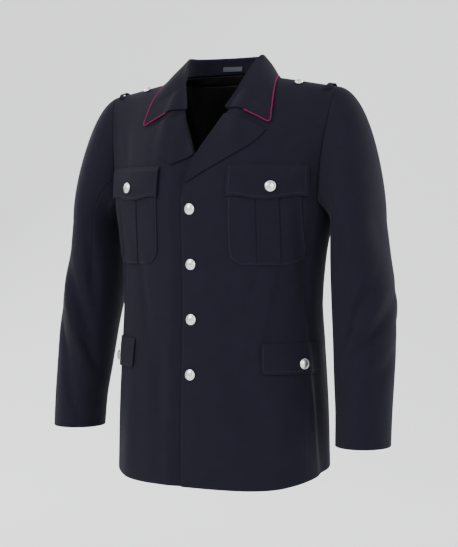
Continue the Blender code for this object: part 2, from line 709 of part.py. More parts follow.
# The flap is sewn close along its top and stands over the pleat below
def make_breast_flap(word, side, cloth):
    flap = BREAST_FLAP
    across = np.linspace(-1, 1, FLAP_COLUMNS)
    scallop = flap["point"] * (np.cos(math.pi * across) + 1) / 2
    low = flap["bottom"] - scallop - flap["corner"] * np.abs(across) ** FLAP_CORNER_POWER
    share = np.array(BREAST_FLAP_ROWS)[:, None]
    heights = flap["top"] + share * (low[None, :] - flap["top"])
    lift = FLAP_EDGE_LIFT + (FLAP_LIFT - FLAP_EDGE_LIFT) * smooth_step(share / FLAP_SETTLE)
    points, normal = on_front(flap["x"] + flap["half"] * across[None, :], heights, lift)
    side_wall("breast_flap_" + word, side, points[::-1], (points - normal * THIN_WALL)[::-1], cloth)


def make_breast_pockets(cloth):
    for word, side in SIDES:
        make_breast_pocket(word, side, cloth)
        make_breast_flap(word, side, cloth)


def make_lower_flaps(cloth):
    flap = LOWER_FLAP
    angles = np.linspace(flap["start"], flap["end"], LOWER_FLAP_COLUMNS)
    heights = np.linspace(flap["bottom"], flap["top"], LOWER_FLAP_ROWS)
    for word, side in SIDES:
        guess = body_point(angles[None, :], heights[:, None])
        points, normal = laid_on_body(guess, LOWER_FLAP_LIFT)
        side_wall("lower_flap_" + word, side, points, points - normal * THIN_WALL, cloth)


# A domed metal button: its profile is turned about its own axis, which stands along the cloth's normal
def make_button(name, point, normal, radius, metal):
    mesh = bpy.data.meshes.new(name)
    points = [(radius * row["across"], 0.0, BUTTON_RISE * row["up"]) for row in BUTTON_PROFILE]
    mesh.from_pydata(points, [(i, i + 1) for i in range(len(points) - 1)], [])
    button = add_object(name, mesh, metal)
    screw = button.modifiers.new("Turn", "SCREW")
    screw.steps = BUTTON_SIDES
    screw.render_steps = BUTTON_SIDES
    screw.use_merge_vertices = True
    screw.merge_threshold = WELD
    button.location = point
    button.rotation_mode = "QUATERNION"
    button.rotation_quaternion = Vector(tuple(normal)).to_track_quat("Z", "Y")
    return button


def make_buttons(metal):
    for index in range(FRONT_BUTTON_COUNT):
        height = FRONT_BUTTON_TOP - FRONT_BUTTON_STEP * index
        point, normal = on_front(np.array([0.0]), np.array([height]), REST_GAP)
        make_button("button_front_%d" % (index + 1), point[0], normal[0], BUTTON_RADIUS, metal)
    for word, side in SIDES:
        point, normal = on_front(
            np.array([BREAST_BUTTON["x"]]), np.array([BREAST_BUTTON["z"]]), FLAP_LIFT + REST_GAP
        )
        place_button("button_breast_" + word, side, point, normal, BUTTON_RADIUS, metal)
        guess = body_point(np.array([FLAP_BUTTON["angle"]]), np.array([FLAP_BUTTON["z"]]))
        point, normal = laid_on_body(guess, LOWER_FLAP_LIFT + REST_GAP)
        place_button("button_flap_" + word, side, point, normal, BUTTON_RADIUS, metal)
        share = (SHOULDER_BUTTON_X - NECK_POINT[0]) / (SHOULDER_POINT[0] - NECK_POINT[0])
        guess = shoulder_seam(np.array([share])) - np.array([0.0, SHOULDER_BUTTON_FORWARD, 0.0])
        point, normal = laid_on_body(guess, REST_GAP)
        place_button("button_shoulder_" + word, side, point, normal, SMALL_BUTTON_RADIUS, metal)


def place_button(name, side, point, normal, radius, metal):
    make_button(name, mirrored(point, side)[0], mirrored(normal, side)[0], radius, metal)


def make_shoulder_loops(cloth):
    share = (LOOP_X - NECK_POINT[0]) / (SHOULDER_POINT[0] - NECK_POINT[0])
    centre = shoulder_seam(np.array([share]))[0]
    along = np.linspace(-1, 1, LOOP_ROWS)
    across = np.linspace(-1, 1, LOOP_COLUMNS)
    for word, side in SIDES:
        x = centre[0] + across[:, None] * LOOP_HALF_WIDTH + 0 * along[None, :]
        y = centre[1] - LOOP_FORWARD + along[None, :] * LOOP_HALF_LENGTH + 0 * across[:, None]
        guess = np.stack([x, y, np.full_like(x, centre[2])], axis=-1)
        lift = REST_GAP + THIN_WALL + LOOP_ARCH * (1 - along[None, :] ** 4) + 0 * across[:, None]
        points, normal = laid_on_body(guess, lift)
        outer = points.transpose(1, 0, 2)
        inner = (points - normal * THIN_WALL).transpose(1, 0, 2)
        side_wall("shoulder_loop_" + word, side, outer, inner, cloth)


def make_neck_inside(lining, label):
    seam = SEAM_GAP / 2 / PANEL_SPAN
    rows = body_rows()
    rows = rows[rows > LINING_LOW][:-1, None]
    columns = np.linspace(seam, 1 - seam, BACK_COLUMNS)[:-1][::-1][None, :]
    outer = back_surface(columns, rows)
    normal = -normals_of(back_surface, columns, rows)
    near = outer - normal * (WALL + LINING_GAP)
    far = near - normal * THIN_WALL
    outer_all = np.concatenate([near, mirrored(near, -1.0)[:, ::-1]], axis=1)
    inner_all = np.concatenate([far, mirrored(far, -1.0)[:, ::-1]], axis=1)
    make_wall("back_neck_lining", outer_all, inner_all, lining)
    x = LABEL_X + np.linspace(-LABEL_HALF_WIDTH, LABEL_HALF_WIDTH, LABEL_COLUMNS)
    y = NECK_POINT[1] + (BACK_NECK_DEPTH - LABEL_IN) * np.cos(np.arcsin(x / NECK_POINT[0]))
    heights = np.array([-1.0, 1.0])[:, None] * LABEL_HALF_HEIGHT + LABEL_HEIGHT
    near = np.stack(np.broadcast_arrays(x[None, :], y[None, :], heights), axis=-1)
    far = near + np.array([0.0, LABEL_THICK, 0.0])
    make_wall("label", near, far, label)


clear_scene()
jacket = bpy.data.collections.new("dress_uniform_jacket")
bpy.context.scene.collection.children.link(jacket)
navy_cloth = make_material("navy_cloth", NAVY, 0.85, 0.0)
black_lining = make_material("black_lining", LINING_BLACK, 0.55, 0.0)
red_piping = make_material("red_piping", PIPING_RED, 0.70, 0.0)
label_cloth = make_material("label_cloth", LABEL_BLUE, 0.55, 0.0)
silver_metal = make_material("silver_metal", SILVER, 0.32, 1.0)
body_samples = sample_body()
make_body(navy_cloth)
make_lapels(navy_cloth)
make_collar(navy_cloth, red_piping)
make_sleeves(navy_cloth)
make_breast_pockets(navy_cloth)
make_lower_flaps(navy_cloth)
make_buttons(silver_metal)
make_shoulder_loops(navy_cloth)
make_neck_inside(black_lining, label_cloth)
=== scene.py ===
import math

import bpy
import numpy as np
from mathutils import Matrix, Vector
from mathutils.bvhtree import BVHTree


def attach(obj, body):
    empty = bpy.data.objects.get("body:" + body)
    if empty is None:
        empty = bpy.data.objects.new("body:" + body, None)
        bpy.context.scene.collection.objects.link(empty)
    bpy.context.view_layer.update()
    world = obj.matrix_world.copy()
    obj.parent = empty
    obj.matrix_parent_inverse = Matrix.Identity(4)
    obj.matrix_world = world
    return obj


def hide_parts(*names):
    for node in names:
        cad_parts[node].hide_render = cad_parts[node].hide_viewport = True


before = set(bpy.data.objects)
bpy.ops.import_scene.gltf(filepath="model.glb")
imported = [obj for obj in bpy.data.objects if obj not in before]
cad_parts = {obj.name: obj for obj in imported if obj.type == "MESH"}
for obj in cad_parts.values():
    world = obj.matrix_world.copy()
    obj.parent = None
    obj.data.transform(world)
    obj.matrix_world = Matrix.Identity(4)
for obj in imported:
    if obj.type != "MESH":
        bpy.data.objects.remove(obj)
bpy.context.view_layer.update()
sides = (("Left", "left", 1.0), ("Right", "right", -1.0))


# Tables: the names of the columns, then the rows, and smooth curves through them
def namedRows(columns, *rows):
    return [dict(zip(columns.split(), row)) for row in rows]


def hermite(t, start, end, leave, arrive):
    t2 = t * t
    t3 = t2 * t
    leaving = (2 * t3 - 3 * t2 + 1) * start + (t3 - 2 * t2 + t) * leave
    arriving = (3 * t2 - 2 * t3) * end + (t3 - t2) * arrive
    return leaving + arriving


def readTable(table, key, column, place):
    keys = np.array([row[key] for row in table], float)
    values = np.array([row[column] for row in table], float)
    slopes = np.gradient(values, keys)
    place = np.asarray(place, float)
    index = np.clip(np.searchsorted(keys, place) - 1, 0, len(keys) - 2)
    span = keys[index + 1] - keys[index]
    t = (place - keys[index]) / span
    return hermite(t, values[index], values[index + 1], slopes[index] * span, slopes[index + 1] * span)


def readColumns(table, key, columns, place):
    return [readTable(table, key, column, place) for column in columns.split()]


def smoothStep(value):
    value = np.clip(value, 0.0, 1.0)
    return value * value * (3 - 2 * value)


def unit(vectors):
    return vectors / np.maximum(np.linalg.norm(vectors, axis=-1, keepdims=True), 1e-9)


def mirrored(points, side):
    return points * np.array([side, 1.0, 1.0])


# Soft troughs and ridges: each row lies at a place on the cloth, long one way and narrow the other
def foldDepth(table, side, across, height, spread):
    depth = np.zeros(np.broadcast(across, height).shape)
    for row in table:
        if row["side"] != side:
            continue
        tilt = math.radians(row["tilt"])
        over = (across - row["across"]) * spread
        up = height - row["height"]
        along = (up * math.cos(tilt) + over * math.sin(tilt)) / row["long"]
        beside = (over * math.cos(tilt) - up * math.sin(tilt)) / row["wide"]
        depth = depth + row["deep"] * np.exp(-along * along - beside * beside)
    return depth


# Meshes
def gridLengths(grid):
    right = np.linalg.norm(np.diff(grid, axis=1), axis=-1)
    up = np.linalg.norm(np.diff(grid, axis=0), axis=-1)
    right = np.pad(np.cumsum(right, axis=1), ((0, 0), (1, 0)))
    up = np.pad(np.cumsum(up, axis=0), ((1, 0), (0, 0)))
    return np.stack([right - right.mean(axis=1, keepdims=True), up], axis=-1)


def gridFaces(rows, columns, first=0):
    r, c = np.meshgrid(np.arange(rows - 1), np.arange(columns - 1), indexing="ij")
    low = (first + r * columns + c).reshape(-1)
    return np.stack([low, low + 1, low + columns + 1, low + columns], axis=1)


edgeRound = 0.42  # how far a shell's edge swells, as a share of its thickness


# A shell of cloth: an outer grid, the same grid moved in, and a rounded edge round them
def makeShell(name, outer, inner, materials):
    across = np.gradient(outer, axis=1)
    up = np.gradient(outer, axis=0)
    if (np.cross(across, up) * (outer - inner)).sum() < 0:
        outer = outer[:, ::-1]
        inner = inner[:, ::-1]
    rows, columns = outer.shape[:2]
    thick = np.linalg.norm(outer - inner, axis=-1).mean()
    middle = (outer + inner) / 2
    ring = np.pad(middle, ((1, 1), (1, 1), (0, 0)), mode="edge")
    inside = np.pad(middle[1:-1, 1:-1], ((2, 2), (2, 2), (0, 0)), mode="edge")
    ring = ring + unit(ring - inside) * thick * edgeRound
    padded = ring.copy()
    padded[1:-1, 1:-1] = outer
    lengths = gridLengths(outer)
    paddedUv = np.pad(lengths, ((1, 1), (1, 1), (0, 0)), mode="edge")
    points = np.concatenate([padded.reshape(-1, 3), inner.reshape(-1, 3)])
    uvs = np.concatenate([paddedUv.reshape(-1, 2), lengths.reshape(-1, 2)])
    wide = columns + 2
    faces = gridFaces(rows + 2, wide).tolist()
    offset = (rows + 2) * wide
    innerFaces = gridFaces(rows, columns, offset)[:, ::-1].tolist()
    border = [(0, k) for k in range(wide)] + [(k, wide - 1) for k in range(1, rows + 2)]
    border += [(rows + 1, k) for k in range(wide - 2, -1, -1)] + [(k, 0) for k in range(rows, -1, -1)]
    strip = []
    for (r1, c1), (r2, c2) in zip(border[:-1], border[1:]):
        a, b = (offset + min(max(r - 1, 0), rows - 1) * columns + min(max(c - 1, 0), columns - 1)
                for r, c in ((r1, c1), (r2, c2)))
        strip.append([r2 * wide + c2, r1 * wide + c1, a] + ([b] if a != b else []))
    mesh = bpy.data.meshes.new(name)
    mesh.from_pydata(points.tolist(), [], faces + strip + innerFaces)
    loopVertex = np.empty(len(mesh.loops), dtype=np.int32)
    mesh.loops.foreach_get("vertex_index", loopVertex)
    layer = mesh.uv_layers.new(name="cloth")
    layer.data.foreach_set("uv", uvs[loopVertex].astype(np.float32).reshape(-1))
    made = addObject(name, mesh, materials)
    if len(materials) > 1:
        index = np.zeros(len(mesh.polygons), dtype=np.int32)
        index[len(faces) + len(strip):] = 1
        mesh.polygons.foreach_set("material_index", index)
    mesh.shade_smooth()
    mesh.update()
    return made


def addObject(name, mesh, materials):
    made = bpy.data.objects.new(name, mesh)
    for material in materials:
        made.data.materials.append(material)
    bpy.context.scene.collection.objects.link(made)
    return made


def standFor(made, slotName, *nodes):
    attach(made, "root")
    if nodes:
        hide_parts(*nodes)
    return made


def dress(name, node, outer, normal, thick, materials, slotName="navy_cloth"):
    return standFor(makeShell(name, outer, outer - normal * thick, materials), slotName, node)


# A closed solid from rings of points, one after the other
def makeRings(name, points, count, sharp, material):
    last = len(points) - count
    faces = [list(range(count))]
    for low in range(0, last, count):
        for column in range(count):
            after = (column + 1) % count
            faces.append([low + column, low + count + column, low + count + after, low + after])
    faces.append([last + column for column in reversed(range(count))])
    mesh = bpy.data.meshes.new(name)
    mesh.from_pydata(points.tolist(), [], faces)
    mesh.shade_smooth()
    mesh.set_sharp_from_angle(angle=math.radians(sharp))
    return addObject(name, mesh, (material,))


# Nodes and materials
def newGroup(name, kind, given, result):
    tree = bpy.data.node_groups.new(name, kind)
    for way, sockets in (("INPUT", given), ("OUTPUT", result)):
        for socket, form in sockets.items():
            tree.interface.new_socket(name=socket, in_out=way, socket_type="NodeSocket" + form)
    return tree, tree.nodes.new("NodeGroupInput"), tree.nodes.new("NodeGroupOutput")


def feed(tree, socket, value):
    if isinstance(value, bpy.types.NodeSocket):
        tree.links.new(value, socket)
    elif value is not None:
        socket.default_value = value


def addNode(tree, kind, **inputs):
    node = tree.nodes.new(kind)
    for name, value in inputs.items():
        feed(tree, node.inputs[name], value)
    return node


def mathNode(tree, operation, first, second=None):
    node = tree.nodes.new("ShaderNodeMath")
    node.operation = operation
    feed(tree, node.inputs[0], first)
    feed(tree, node.inputs[1], second)
    return node.outputs[0]


def newMaterial(name, colour, roughness, metallic=0.0, **constants):
    material = bpy.data.materials.new(name)
    material.use_nodes = True
    shader = material.node_tree.nodes["Principled BSDF"]
    shader.inputs["Base Color"].default_value = (*colour, 1.0)
    shader.inputs["Roughness"].default_value = roughness
    shader.inputs["Metallic"].default_value = metallic
    for socket, value in constants.items():
        shader.inputs[socket.replace("_", " ")].default_value = value
    return material


twill = {
    "threads": 900.0, "threadDetail": 2.0, "slub": 35.0, "slubDetail": 3.0, "wobble": 1.6, "rough": 1.2,
    "ribTone": 0.22, "slubTone": 0.60, "strength": 0.55,
}


# Diagonal ribs of a twill, with uneven threads. Its height feeds a bump and its tone a base colour
def makeTwillGroup():
    given = {"Place": "Vector", "Pitch": "Float", "Slope": "Float"}
    tree, start, end = newGroup("twill", "ShaderNodeTree", given, {"Height": "Float", "Tone": "Float"})
    place = start.outputs["Place"]
    parts = addNode(tree, "ShaderNodeSeparateXYZ", Vector=place)
    noise = "ShaderNodeTexNoise"
    threads = addNode(tree, noise, Vector=place, Scale=twill["threads"], Detail=twill["threadDetail"])
    slub = addNode(tree, noise, Vector=place, Scale=twill["slub"], Detail=twill["slubDetail"])
    leaned = mathNode(tree, "MULTIPLY", parts.outputs[1], start.outputs["Slope"])
    across = mathNode(tree, "ADD", parts.outputs[0], leaned)
    turns = mathNode(tree, "DIVIDE", across, start.outputs["Pitch"])
    turns = mathNode(tree, "MULTIPLY", turns, 2 * math.pi)
    wobble = mathNode(tree, "MULTIPLY", threads.outputs[0], twill["wobble"])
    rib = mathNode(tree, "SINE", mathNode(tree, "ADD", turns, wobble))
    rough = mathNode(tree, "MULTIPLY", threads.outputs[0], twill["rough"])
    tree.links.new(mathNode(tree, "ADD", rib, rough), end.inputs["Height"])
    light = mathNode(tree, "MULTIPLY", rib, twill["ribTone"])
    patch = mathNode(tree, "SUBTRACT", slub.outputs[0], 0.5)
    patch = mathNode(tree, "MULTIPLY", patch, twill["slubTone"])
    tone = mathNode(tree, "ADD", mathNode(tree, "ADD", light, patch), 1.0)
    tree.links.new(tone, end.inputs["Tone"])
    return tree


twillGroup = makeTwillGroup()


def newCloth(name, look, **constants):
    material = newMaterial(name, look["colour"], look["roughness"], **constants)
    tree = material.node_tree
    shader = tree.nodes["Principled BSDF"]
    place = tree.nodes.new("ShaderNodeUVMap")
    place.uv_map = "cloth"
    ribs = tree.nodes.new("ShaderNodeGroup")
    ribs.node_tree = twillGroup
    given = {"Place": place.outputs[0], "Pitch": look["pitch"], "Slope": look["slope"]}
    for socket, value in given.items():
        feed(tree, ribs.inputs[socket], value)
    tint = tree.nodes.new("ShaderNodeVectorMath")
    tint.operation = "SCALE"
    tint.inputs[0].default_value = look["colour"]
    tree.links.new(ribs.outputs["Tone"], tint.inputs["Scale"])
    tree.links.new(tint.outputs[0], shader.inputs["Base Color"])
    bump = addNode(tree, "ShaderNodeBump", Strength=twill["strength"], Distance=look["bump"],
                   Height=ribs.outputs["Height"])
    tree.links.new(bump.outputs[0], shader.inputs["Normal"])
    return material


clothLook = {
    "colour": (0.0049, 0.0043, 0.0108), "roughness": 0.88, "pitch": 0.0016, "slope": 0.62, "bump": 0.00012,
}
liningLook = {
    "colour": (0.0016, 0.0016, 0.0022), "roughness": 0.52, "pitch": 0.0009, "slope": 1.0, "bump": 0.00004,
}
navyCloth = newCloth("navyCloth", clothLook, Sheen_Weight=0.02, Specular_IOR_Level=0.16)
blackLining = newCloth("blackLining", liningLook, Specular_IOR_Level=0.15)
redPiping = newMaterial("redPiping", (0.125, 0.001, 0.040), 0.8, Specular_IOR_Level=0.2)
paleLabel = newMaterial("paleLabel", (0.022, 0.026, 0.040), 0.65)
# Navy thread, coloured lighter than the cloth: the lighter tone is painted sheen of the stitches
navyThreadWithPaintedSheen = newMaterial("navyThreadWithPaintedSheen", (0.0085, 0.0098, 0.020), 0.6)
silverMetal = newMaterial("silverMetal", (0.80, 0.80, 0.81), 0.34, 1.0)
print("materials made")

# Body of the jacket
body = {
    "sections": namedRows(
        "height halfWidth front back square",
        (-0.790, 0.215, 0.138, 0.124, 2.30),
        (-0.750, 0.214, 0.137, 0.122, 2.30),
        (-0.620, 0.211, 0.135, 0.116, 2.30),
        (-0.500, 0.206, 0.131, 0.102, 2.25),
        (-0.430, 0.204, 0.129, 0.096, 2.20),
        (-0.340, 0.210, 0.131, 0.104, 2.10),
        (-0.240, 0.228, 0.135, 0.116, 2.00),
        (-0.200, 0.232, 0.135, 0.118, 2.00),
    ),
    "rollLine": namedRows(
        "x y z",
        (-0.0160, -0.1330, -0.2050),
        (0.0000, -0.1190, -0.1580),
        (0.0340, -0.0850, -0.0940),
        (0.0530, -0.0580, -0.0550),
        (0.0690, -0.0310, -0.0220),
        (0.0800, 0.0050, 0.0000),
    ),
    "neckPoint": (0.080, 0.005, 0.000), "shoulderPoint": (0.237, 0.008, -0.029),
    "backNeckDepth": 0.073, "backNeckRise": 0.010,
    "hem": -0.766, "hemRise": 0.038, "hemFrom": 25.0, "hemTo": 130.0,
    "armhole": -0.240, "armholeDrop": 0.018, "frontSeam": 70.0, "backSeam": 112.0,
    "overlap": 0.018, "underDepth": 0.0055, "underReach": 0.050,
    "shoulderPull": 0.60, "frontNeck": 0.42, "backNeck": 0.38, "frontLean": 1.2, "backLean": 0.25,
    "turnIn": 25.0, "fullness": 0.30, "fullEnd": 0.73,
    "wall": 0.0020, "thin": 0.0012, "seam": 0.0004, "spread": 0.0036, "foldStrength": 1.35,
    "step": 0.002, "creaseFrom": -4.0, "creaseOver": 16.0, "creaseTo": 179.0, "creaseEnd": 9.0,
    "creaseTop": 0.55, "creaseFade": 0.35, "rayFrom": -0.5, "frontGuess": -0.12,
    "rowsBelow": 110, "rowsAbove": 70, "frontColumns": 84, "sideColumns": 34, "backColumns": 64,
}

# Creases of the body: across is the angle from the centre front
bodyFolds = namedRows(
    "side across height tilt long wide deep",
    (1.0, 20, -0.470, 4, 0.120, 0.016, -0.0022),
    (1.0, 33, -0.400, 22, 0.075, 0.010, -0.0018),
    (1.0, 41, -0.430, 17, 0.090, 0.011, 0.0018),
    (1.0, 27, -0.620, -5, 0.110, 0.024, -0.0024),
    (1.0, 47, -0.690, 3, 0.110, 0.026, 0.0034),
    (1.0, 62, -0.320, -16, 0.100, 0.013, -0.0036),
    (1.0, 72, -0.400, -8, 0.120, 0.014, -0.0030),
    (1.0, 76, -0.620, -9, 0.085, 0.010, 0.0034),
    (1.0, 84, -0.650, -7, 0.120, 0.020, -0.0060),
    (1.0, 48, -0.130, 28, 0.045, 0.014, -0.0014),
    (1.0, 56, -0.180, 24, 0.040, 0.012, 0.0010),
    (1.0, 104, -0.400, 10, 0.110, 0.016, -0.0044),
    (1.0, 122, -0.300, 14, 0.090, 0.018, -0.0050),
    (1.0, 134, -0.500, -6, 0.150, 0.022, -0.0040),
    (1.0, 150, -0.640, 4, 0.130, 0.026, 0.0042),
    (1.0, 160, -0.430, 68, 0.050, 0.012, -0.0030),
    (1.0, 166, -0.250, 12, 0.090, 0.020, -0.0026),
    (-1.0, 16, -0.600, 2, 0.130, 0.018, -0.0026),
    (-1.0, 30, -0.420, 14, 0.090, 0.014, -0.0024),
    (-1.0, 40, -0.660, -4, 0.120, 0.028, 0.0034),
    (-1.0, 55, -0.340, -12, 0.090, 0.013, -0.0032),
    (-1.0, 50, -0.135, 22, 0.045, 0.013, -0.0013),
    (-1.0, 78, -0.450, 6, 0.130, 0.016, -0.0034),
    (-1.0, 96, -0.640, -5, 0.110, 0.020, -0.0044),
    (-1.0, 118, -0.330, 16, 0.090, 0.016, -0.0046),
    (-1.0, 132, -0.560, -3, 0.150, 0.024, -0.0038),
    (-1.0, 148, -0.440, 60, 0.055, 0.012, -0.0034),
    (-1.0, 157, -0.650, 0, 0.120, 0.022, 0.0032),
    (-1.0, 163, -0.280, 9, 0.100, 0.018, -0.0030),
)


def matched(*values):
    return np.broadcast_arrays(*[np.asarray(value, float) for value in values])


def bodyPoint(angle, height):
    angle, height = matched(np.radians(angle), height)
    columns = "halfWidth front back square"
    halfWidth, front, back, square = readColumns(body["sections"], "height", columns, height)
    power = 2.0 / square
    across = np.sign(np.sin(angle)) * np.abs(np.sin(angle)) ** power
    along = np.abs(np.cos(angle)) ** power
    depth = np.where(np.cos(angle) > 0, -front * along, back * along)
    return np.stack([halfWidth * across, depth, height], axis=-1)


def frontEdgeAngle(height):
    halfWidth, square = readColumns(body["sections"], "height", "halfWidth square", height)
    return -np.degrees(np.arcsin((body["overlap"] / halfWidth) ** (square / 2)))


def hemHeight(angle):
    turned = (np.abs(angle) - body["hemFrom"]) / (body["hemTo"] - body["hemFrom"])
    return body["hem"] + body["hemRise"] * smoothStep(turned)


def rollPoint(share):
    last = len(body["rollLine"]) - 1
    rows = [dict(row, place=index / last) for index, row in enumerate(body["rollLine"])]
    return np.stack(readColumns(rows, "place", "x y z", share), axis=-1)


def shoulderSeam(share):
    share = np.asarray(share, float)[..., None]
    return np.array(body["neckPoint"]) * (1 - share) + np.array(body["shoulderPoint"]) * share


def shoulderShare(x):
    return (x - body["neckPoint"][0]) / (body["shoulderPoint"][0] - body["neckPoint"][0])


def backNeckline(share):
    turn = np.asarray(share, float) * math.pi / 2
    x, y, z = body["neckPoint"]
    depth = y + body["backNeckDepth"] * np.cos(turn)
    return np.stack([x * np.sin(turn), depth, z + body["backNeckRise"] * np.cos(turn)], axis=-1)


# From the armhole's level a column of cloth climbs to the shoulder seam or the neck
def climb(t, start, end, lean, backward, full):
    length = np.linalg.norm(end - start, axis=-1, keepdims=True)
    zero = np.zeros_like(lean)
    leave = np.stack([zero, zero, np.ones_like(lean)], axis=-1) * length
    turn = np.radians(body["turnIn"]) * full
    pull = length * (body["shoulderPull"] + body["fullness"] * full)[..., None]
    forward = backward * np.sin(lean) * np.cos(turn)
    arrive = np.stack([-np.sin(lean) * np.sin(turn), forward, np.cos(lean)], axis=-1) * pull
    return hermite(t[..., None], start, end, leave, arrive)


# place runs from -1 at the hem, through 0 at the armhole's level, to 1 at the shoulder
def frontBase(column, place):
    column, place = matched(column, place)
    edge = frontEdgeAngle(body["armhole"])
    angle = edge + column * (body["frontSeam"] - edge)
    height = body["armhole"] + np.minimum(place, 0) * (body["armhole"] - hemHeight(angle))
    lowEdge = frontEdgeAngle(height)
    below = bodyPoint(lowEdge + column * (body["frontSeam"] - lowEdge), height)
    neckShare = np.clip(column / body["frontNeck"], 0, 1)
    seamShare = (column - body["frontNeck"]) / (1 - body["frontNeck"])
    onNeck = (column < body["frontNeck"])[..., None]
    top = np.where(onNeck, rollPoint(neckShare), shoulderSeam(seamShare))
    lean = math.pi / 2 * neckShare ** body["frontLean"]
    above = climb(np.maximum(place, 0), bodyPoint(angle, body["armhole"]), top, lean, 1.0, 0 * lean)
    return np.where((place <= 0)[..., None], below, above), angle


def backBase(column, place):
    column, place = matched(column, place)
    angle = 180.0 - column * (180.0 - body["backSeam"])
    height = body["armhole"] + np.minimum(place, 0) * (body["armhole"] - hemHeight(angle))
    below = bodyPoint(angle, height)
    neckShare = np.clip(column / body["backNeck"], 0, 1)
    seamShare = (column - body["backNeck"]) / (1 - body["backNeck"])
    onNeck = (column < body["backNeck"])[..., None]
    top = np.where(onNeck, backNeckline(neckShare), shoulderSeam(seamShare))
    lean = math.pi / 2 * (body["backLean"] + (1 - body["backLean"]) * neckShare)
    pastNeck = (column - body["backNeck"]) / (body["fullEnd"] - body["backNeck"])
    full = smoothStep(column / body["backNeck"]) * (1 - smoothStep(pastNeck))
    above = climb(np.maximum(place, 0), bodyPoint(angle, body["armhole"]), top, lean, -1.0, full)
    return np.where((place <= 0)[..., None], below, above), angle


def armholeLow(angle):
    reach = (np.asarray(angle, float) - 90.0) / (90.0 - body["frontSeam"])
    return body["armhole"] - body["armholeDrop"] * (1 - reach * reach)


def sideBase(column, place):
    column, place = matched(column, place)
    angle = body["frontSeam"] + column * (body["backSeam"] - body["frontSeam"])
    top = armholeLow(angle)
    return bodyPoint(angle, top + place * (top - hemHeight(angle))), angle


def baseNormals(base, column, place, turn):
    step = body["step"]
    right = base(column + step, place)[0] - base(column - step, place)[0]
    up = base(column, place + step)[0] - base(column, place - step)[0]
    return turn * unit(np.cross(right, up))


# A panel's outside with its creases, and the way out of it, for one side of the jacket
def panel(base, turn, side, column, place):
    points, angle = base(column, place)
    normal = baseNormals(base, column, place, turn)
    fade = smoothStep((angle - body["creaseFrom"]) / body["creaseOver"])
    fade = fade * smoothStep((body["creaseTo"] - angle) / body["creaseEnd"])
    fade = fade * (1 - smoothStep((place - body["creaseTop"]) / body["creaseFade"]))
    depth = foldDepth(bodyFolds, side, angle, points[..., 2], body["spread"])
    points = points + normal * (depth * fade * body["foldStrength"])[..., None]
    if side < 0:
        reach = (body["underReach"] - points[..., 0]) / (body["underReach"] - body["overlap"])
        under = np.where(angle < 90, body["underDepth"] * smoothStep(reach), 0)
        points = points + np.stack([0 * under, under, 0 * under], axis=-1)
    return mirrored(points, side), mirrored(normal, side)


def bodyRows():
    below = np.linspace(-1, 0, body["rowsBelow"])
    above = np.linspace(0, 1, body["rowsAbove"])[1:]
    rows = np.concatenate([below, above])
    rows[-1] -= body["seam"]
    return rows[:, None]


panels = (
    ("front", frontBase, 1.0, "frontColumns"),
    ("side", sideBase, 1.0, "sideColumns"),
    ("back", backBase, -1.0, "backColumns"),
)
bodyTrees = {}
for label, word, side in sides:
    treePoints, treeNormals, treeFaces = [], [], []
    for kind, base, turn, count in panels:
        rows = bodyRows() if kind != "side" else np.linspace(-1, 0, body["rowsBelow"])[:, None]
        columns = np.linspace(0, 1, body[count])[None, :]
        points, normal = panel(base, turn, side, columns, rows)
        squares = gridFaces(*points.shape[:2], sum(len(block) for block in treePoints))
        treePoints.append(points.reshape(-1, 3))
        treeNormals.append(normal.reshape(-1, 3))
        treeFaces += [squares[:, [0, 1, 2]], squares[:, [0, 2, 3]]]
        first = body["seam"] if kind != "front" else 0.0
        columns = np.linspace(first, 1 - body["seam"], body[count])[None, :]
        outer, normal = panel(base, turn, side, columns, rows)
        dress(kind + label, kind + "_" + word, outer, normal, body["wall"], (navyCloth, blackLining))
    allPoints = np.concatenate(treePoints)
    allFaces = np.concatenate(treeFaces)
    bodyTrees[side] = {
        "tree": BVHTree.FromPolygons(allPoints.tolist(), allFaces.tolist()),
        "points": allPoints, "normals": np.concatenate(treeNormals), "faces": allFaces,
    }
print("body made")


# A point on the body's cloth beside a hit on it, with the smooth way out
def smoothHit(held, place, index):
    corners = held["faces"][index]
    a, b, c = held["points"][corners]
    total = np.cross(b - a, c - a)
    size = total.dot(total)
    shareA = np.cross(b - place, c - place).dot(total) / size
    shareB = np.cross(c - place, a - place).dot(total) / size
    shares = np.array([shareA, shareB, 1 - shareA - shareB])
    return unit(shares @ held["normals"][corners])


def laid(side, points, lift):
    held = bodyTrees[side]
    flat = np.asarray(points, float).reshape(-1, 3)
    lift = np.broadcast_to(np.asarray(lift, float), np.asarray(points).shape[:-1]).reshape(-1)
    moved = np.empty_like(flat)
    normals = np.empty_like(flat)
    for number, point in enumerate(flat):
        hit, _, index, _ = held["tree"].find_nearest(Vector(point))
        normals[number] = smoothHit(held, np.array(hit), index)
        moved[number] = np.array(hit) + normals[number] * lift[number]
    shape = np.asarray(points).shape
    return moved.reshape(shape), normals.reshape(shape)


# The place on the front at a given width and height
def onFront(side, x, z, lift):
    held = bodyTrees[side]
    x, z, lift = matched(x, z, lift)
    moved = np.empty(x.shape + (3,))
    normals = np.empty(x.shape + (3,))
    for spot in np.ndindex(x.shape):
        start = Vector((side * x[spot], body["rayFrom"], z[spot]))
        hit, _, index, _ = held["tree"].ray_cast(start, Vector((0, 1, 0)))
        if hit is None:
            guess = Vector((side * x[spot], body["frontGuess"], z[spot]))
            hit, _, index, _ = held["tree"].find_nearest(guess)
        normals[spot] = smoothHit(held, np.array(hit), index)
        moved[spot] = np.array(hit) + normals[spot] * lift[spot]
    return moved, normals


